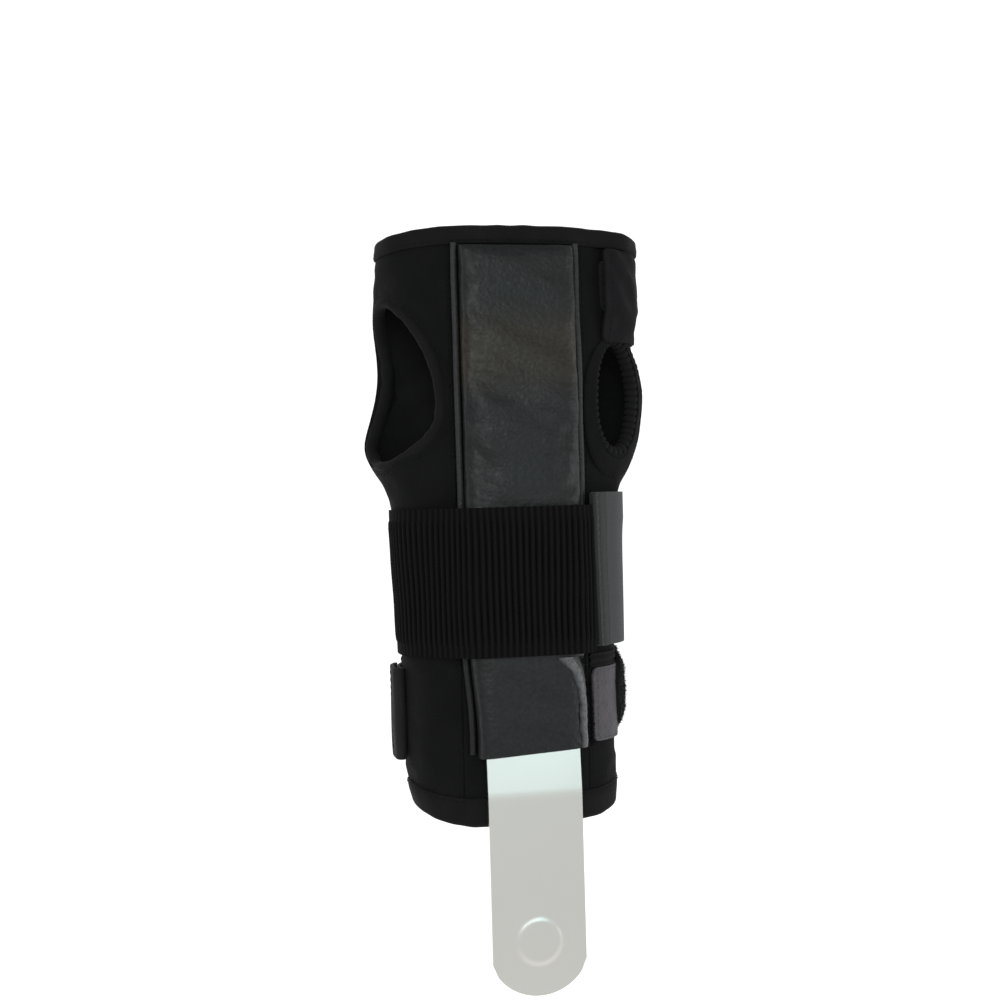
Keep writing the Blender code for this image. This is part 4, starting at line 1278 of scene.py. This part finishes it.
def loop_patch(name, start, end, low, high, surface, thread, node, seed):
    """The loop side of a closing tape, sewn to the sleeve: felted, with a stitched border."""
    rows = heights(low, high, 1.0 * MM)
    angles, run = even_angles(start, end, lambda a: sleeve(a, (low + high) / 2, LAYER_GAP), 0.6 * MM)
    halves = corner(np.minimum(run, run[-1] - run), (high - low) / 2, PATCH_CORNER)
    faces = (sleeve(angles, rows[:, None], lift) for lift in (1.15 * MM, 0.35 * MM))
    outer, inner = narrowed((low, high), halves, *faces)
    outer = lifted(outer, waves(outer, 5 * MM, seed) * 0.05 * MM)
    patch = slab(name + "_base", outer, inner, surface, bevel=0.2)
    rng = np.random.default_rng(RANDOM_SEED + seed)
    row = rng.integers(1, len(rows) - 1, PATCH_FIBRES)
    column = rng.integers(1, len(angles) - 1, PATCH_FIBRES)
    directions = grid_normals(outer)[row, column] * 0.55 + rng.normal(size=(PATCH_FIBRES, 3)) * 0.5
    lengths = rng.uniform(0.25, 0.6, PATCH_FIBRES) * MM
    pile = spikes(name + "_pile", outer[row, column], directions, lengths, 0.05 * MM, surface)
    belongs(join([patch, pile], name + "_cloth"), "sleeve", "loop_tape", node)
    upright, level = slice(2, -2), slice(5, -5)
    borders = {"first": (upright, 3), "last": (upright, -4), "low": (1, level), "high": (-2, level)}
    for label, place in borders.items():
        sewn(f"{name}_stitches_{label}", *along_grid(outer, *place), 2.4 * MM, thread)


def patch_heading():
    """The dark tape sewn down with two seams above the forearm's loop patch."""
    rows = heights(-30.3 * MM, -25.6 * MM, 0.4 * MM)
    angles, _ = even_angles(-40.5, 28, lambda a: sleeve(a, rows[0]), 0.8 * MM)
    seams = (rows[3], rows[-4])
    groove = sum(dent(rows, seam, 0.45 * MM) for seam in seams)
    outer = sleeve(angles, rows[:, None], 1.0 * MM - 0.45 * MM * groove[:, None])
    tape = slab("forearm_patch_heading", outer, 0.6 * MM, BINDING, bevel=0.15)
    belongs(tape, "sleeve", "binding")
    for number, seam in enumerate(seams):
        line = sleeve_line(angles, seam, 0.62 * MM)
        sewn(f"forearm_heading_stitches_{number}", *line, 2.2 * MM, THREAD)


def forearm_fold():
    """The narrow strap's sewn end at the thumb side: doubled back on itself, a rounded fold at the front."""
    low, high = FOREARM_SPAN[0] - 2.5 * MM, FOREARM_SPAN[1] - 2.0 * MM
    start, end = FOREARM_FOLD
    outer_lift, inner_lift = 4.3 * MM, 0.35 * MM
    half = (outer_lift - inner_lift) / 2
    turn = np.linspace(math.pi / 2, -math.pi / 2, 13)[1:-1]
    degrees = 1 / (0.62 * MM)  # about how many degrees a metre is here
    front = end - half * degrees
    back = np.linspace(start, front, 26)
    angles = np.concatenate([back, front + half * degrees * np.cos(turn), back[::-1]])
    middle_lifts = inner_lift + half + half * np.sin(turn)
    lifts = np.concatenate([0 * back + outer_lift, middle_lifts, 0 * back + inner_lift])
    rows = heights(low, high, 1.0 * MM)
    points = sleeve(angles, rows[:, None], lifts)
    points = lifted(points, 0.12 * MM * waves(points, 12 * MM, 70, (1, 1, 0.5)))
    points = narrowed((low, high), np.full(len(angles), (high - low) / 2), points)[0]
    fold = slab("forearm_fold", points, 1.35 * MM, WEBBING_DARK)
    belongs(fold, "sleeve", "tab_webbing", "forearm_strap_root")
    for number, angle in enumerate((start + 2.5, start + 17)):
        line = sleeve(angle, rows, outer_lift + 0.1 * MM)[2:-2]
        sewn(f"forearm_fold_stitches_{number}", line, unit(line * LEVEL), 2.5 * MM, THREAD)


def forearm_band():
    """The narrow strap round the back of the forearm: plain elastic with fine cords along it."""
    low, high = FOREARM_SPAN
    relief = 0.25 * MM
    path = strap_path((low + high) / 2, FOREARM_STACK)
    angles, run = even_angles(FOREARM_SEAM + 0.4, FOREARM_FOLD[0] - 0.6, path, 0.55 * MM)
    rows = heights(low, high, 0.35 * MM)
    base = strap(angles, heights(low, high, 3 * MM), FOREARM_STACK, BAND[1] - relief)
    base = np.stack([resized(base[..., k], len(rows), len(angles)) for k in range(3)], -1)
    cords = abs(np.sin(math.pi * (rows - low) / (1.75 * MM)))[:, None] ** 0.8
    twist = 0.6 + 0.4 * abs(np.sin(math.pi * run / (1.4 * MM)))
    outer = lifted(base, relief * cords * twist)
    inner = lifted(base, relief - (BAND[1] - BAND[0]))
    band = slab("forearm_elastic", outer, inner, ELASTIC, bevel=0, sharp=60)
    turning = (FOREARM_HINGE, -1)
    bends(band, "sleeve", "forearm_strap", "elastic", turning, path, "forearm_strap", reach=2.4 * MM)


def forearm_tab():
    """The closing end of the narrow strap: black felted tape whose round tip is frayed."""
    low, high = FOREARM_SPAN[0] + 5 * MM, FOREARM_SPAN[1] + 1.6 * MM
    middle, half = (low + high) / 2, (high - low) / 2
    path = strap_path(middle, FOREARM_STACK)
    angles, run = even_angles(FOREARM_TAB_END, FOREARM_SEAM - 0.4, path, 0.5 * MM)
    rows = heights(low, high, 0.8 * MM)
    base = strap(angles, rows, FOREARM_STACK, BAND[1])
    base = lifted(base, -0.9 * MM * (1 - smooth_share(run, 8 * MM, 20 * MM)))
    fall = smooth_share(abs(rows - middle) / half, 0.45, 1.0)[:, None]
    fall = fall * (1 - smooth_share(run, 16 * MM, 24 * MM))
    rise = waves(base, 9 * MM, 72) * 0.12 * MM - 0.35 * MM * dent(run, run[-1] - 5 * MM, 0.6 * MM)
    outer = lifted(base, rise - 2.3 * MM * fall)
    inner = lifted(base, BAND[0] - BAND[1] - 1.2 * MM * fall)
    halves = corner(run, half, 11 * MM) + waves(base[0], 3 * MM, 75) * 0.25 * MM
    outer, inner = narrowed((low, high), halves, outer, inner)
    tab = slab("forearm_tab_cloth", outer, inner, DARK_LOOP)
    turning = (FOREARM_SEAM, -1)
    bends(tab, "forearm_strap", "forearm_tab", "tab_webbing", turning, path, "forearm_tab")
    rng = np.random.default_rng(RANDOM_SEED + 73)
    count = 5200
    row = rng.integers(0, len(rows), count)
    column = rng.integers(0, np.searchsorted(run, 19 * MM), count)
    away = unit(outer[:, 0] - outer[:, 6]).mean(0)
    directions = grid_normals(outer)[row, column] * 0.4 + away * rng.uniform(0, 1.2, (count, 1))
    directions = directions + rng.normal(size=(count, 3)) * 0.5
    lengths = rng.uniform(0.5, 1.5, count) * MM
    fray = spikes("forearm_tab_fray", outer[row, column], directions, lengths, 0.11 * MM, DARK_LOOP)
    belongs(fray, "forearm_tab", "tab_webbing")


def hand_flap():
    """The soft flap that closes the sleeve above the little-finger-side hole."""
    low, high = HAND_SPAN[0] - 2.0 * MM, HAND_SPAN[1] + 2.4 * MM
    path = strap_path((low + high) / 2, HAND_STACK)
    angles, run = even_angles(HAND_FLAP_EDGE, HAND_ROOT_END, path, 1.0 * MM)
    rows = heights(low, high, 1.0 * MM)
    base = strap(angles, rows, HAND_STACK, BAND[1] - 0.15 * MM)
    base = lifted(base, -2.9 * MM * (1 - smooth_share(rows, low, low + 13 * MM))[:, None])
    pinned = np.zeros(base.shape[:2], bool)
    pinned[:2] = pinned[-2:] = True
    pinned[:, :2] = pinned[:, -6:] = True
    rise = np.maximum(rise_of(base, pinned, 0.06, 0.7 * MM, 0.1), -0.5 * MM)
    tilted = base @ np.array([[1, 0, 0.5], [0, 1, 0.5], [0, 0, 1]])
    folds = waves(tilted, 11 * MM, 80, (1, 1, 0.8)) * 0.28 * MM
    calm = np.clip(np.minimum(run, run[-1] - run) / (5 * MM), 0, 1)
    outer = lifted(base, (rise + folds) * calm)
    inner = lifted(base, -1.2 * MM) + (outer - base) * 0.5
    halves = corner(run, (high - low) / 2, 1.6 * MM)
    outer, inner = narrowed((low, high), halves, outer, inner)
    flap = slab("hand_flap_cloth", outer, inner, FLAP_KNIT_PAINTED_LIGHT, bevel=0.35)
    turning = (HAND_HINGE, -1)
    bends(flap, "sleeve", "hand_flap", "neoprene", turning, path, "hand_flap", "hand_flap_root")
    row = stitch_row("hand_flap_stitches", *along_grid(outer, slice(2, -2), 3), 2.4 * MM, THREAD)
    belongs(row, "hand_flap", "binding")
    sewn("hand_flap_root_stitches", *along_grid(outer, slice(1, -1), -4), 2.4 * MM, THREAD)


# ---------------------------------------------------------------- the set, the light and the camera


def build_bowl():
    """A white floor that curves up into a wall all round; the side behind the splint is a little brighter."""
    bend = np.radians(np.linspace(0, 90, 10))
    curve = BOWL_WALL - BOWL_RADIUS
    reach = [0.0005 * BOWL_RADIUS, 0.5 * BOWL_RADIUS, *(BOWL_RADIUS + curve * np.sin(bend)), BOWL_WALL]
    rise = [0.0, 0.0, *(curve * (1 - np.cos(bend))), BOWL_TOP]
    turn = np.linspace(0, 2 * math.pi, BOWL_SIDES, endpoint=False)
    x, y = (np.outer(reach, side) for side in (np.cos(turn), np.sin(turn)))
    points = np.stack([x, y, FLOOR_Z + np.array(rise)[:, None] + 0 * x], -1)
    surface = shader("backdrop", (0.25, 0.25, 0.25), 1.0, 0.0)
    glow = mapped(surface, gradient(surface, "Y", *GLOW_SPAN), To_Min=GLOW[0], To_Max=GLOW[1])
    base = surface.node_tree.nodes["Principled BSDF"].inputs
    base["Emission Color"].default_value = (1, 1, 1, 1)
    surface.node_tree.links.new(glow, base["Emission Strength"])
    bowl = piece("backdrop", points, grid_faces(len(reach), BOWL_SIDES, 0, True), surface)


def area_light(name, place, size, power, colour):
    """A round lamp that faces the splint."""
    data = bpy.data.lights.new(name, "AREA")
    data.shape = "DISK"
    data.size = size
    data.energy = power
    data.color = colour
    lamp = bpy.data.objects.new(name, data)
    lamp.location = place
    lamp.rotation_mode = "QUATERNION"
    lamp.rotation_quaternion = (-Vector(place)).to_track_quat("-Z", "Y")
    bpy.context.scene.collection.objects.link(lamp)


def build_camera():
    """Looks level at the palm side from a little to the thumb side, turned slightly about its own axis."""
    right = Vector((math.cos(CAMERA_AZIMUTH), math.sin(CAMERA_AZIMUTH), 0))
    back = Vector((math.sin(CAMERA_AZIMUTH), -math.cos(CAMERA_AZIMUTH), 0))
    turn = Matrix.Rotation(CAMERA_ROLL, 3, back)
    data = bpy.data.cameras.new("camera")
    data.lens = CAMERA_LENS
    data.sensor_width = 36
    data.clip_start = 0.01
    camera = bpy.data.objects.new("camera", data)
    camera.location = turn @ (right * CAMERA_SHIFT + Vector((0, 0, CAMERA_HEIGHT))) + back * CAMERA_DISTANCE
    camera.rotation_mode = "QUATERNION"
    axes = Matrix((turn @ right, turn @ Vector((0, 0, 1)), back))
    camera.rotation_quaternion = axes.transposed().to_quaternion()
    bpy.context.scene.collection.objects.link(camera)
    bpy.context.scene.camera = camera


def build_set():
    """The backdrop, the lamps, the light of the air and the camera."""
    build_bowl()
    for lamp in LAMPS:
        area_light(*lamp)
    world = bpy.data.worlds.new("air")
    world.use_nodes = True
    world.node_tree.nodes["Background"].inputs["Color"].default_value = (1, 1, 1, 1)
    world.node_tree.nodes["Background"].inputs["Strength"].default_value = AIR_LIGHT
    bpy.context.scene.world = world
    bpy.context.scene.view_settings.view_transform = "Standard"
    build_camera()


# ---------------------------------------------------------------- putting it together

build_set()
build_sleeve()
edge_tape("hand_edge_tape", SLEEVE_TOP, HAND_TAPE_WIDTH, 1, "hand_tape", 3, (-30, 44))
edge_tape("cuff_edge_tape", SLEEVE_BOTTOM, CUFF_TAPE_WIDTH, -1, "cuff_tape", 4)
thumb_rim()
spare_rim()
spare_facing()
build_pocket()
rolled_corner()
build_piping()
build_stay()
loop_patch("wrist_loop", -27, 52, -21.5 * MM, 22 * MM, LOOP, GREY_THREAD, "wrist_loop_patch", seed=61)
loop_patch("forearm_loop", -39.2, 28, -55.7 * MM, -30.6 * MM, LOOP, PALE_THREAD, "forearm_loop_patch", seed=62)
patch_heading()
loop_patch("hand_loop", -31, -4, 91 * MM, 108.6 * MM, DARK_LOOP, THREAD, "hand_loop_patch", seed=63)
wrist_elastic()
wrist_tab()
hook_pad("wrist_hook", -24, -4, -21.5 * MM, 22 * MM, WRIST_STACK, "wrist_tab", "wrist_hook")
forearm_fold()
forearm_band()
forearm_tab()
hook_pad("forearm_hook", -7, 22, -47 * MM, -32 * MM, FOREARM_STACK, "forearm_tab", "forearm_hook")
hand_flap()
hook_pad("hand_hook", -30, -9, 93 * MM, 108.6 * MM, HAND_STACK, "hand_flap", "hand_hook")
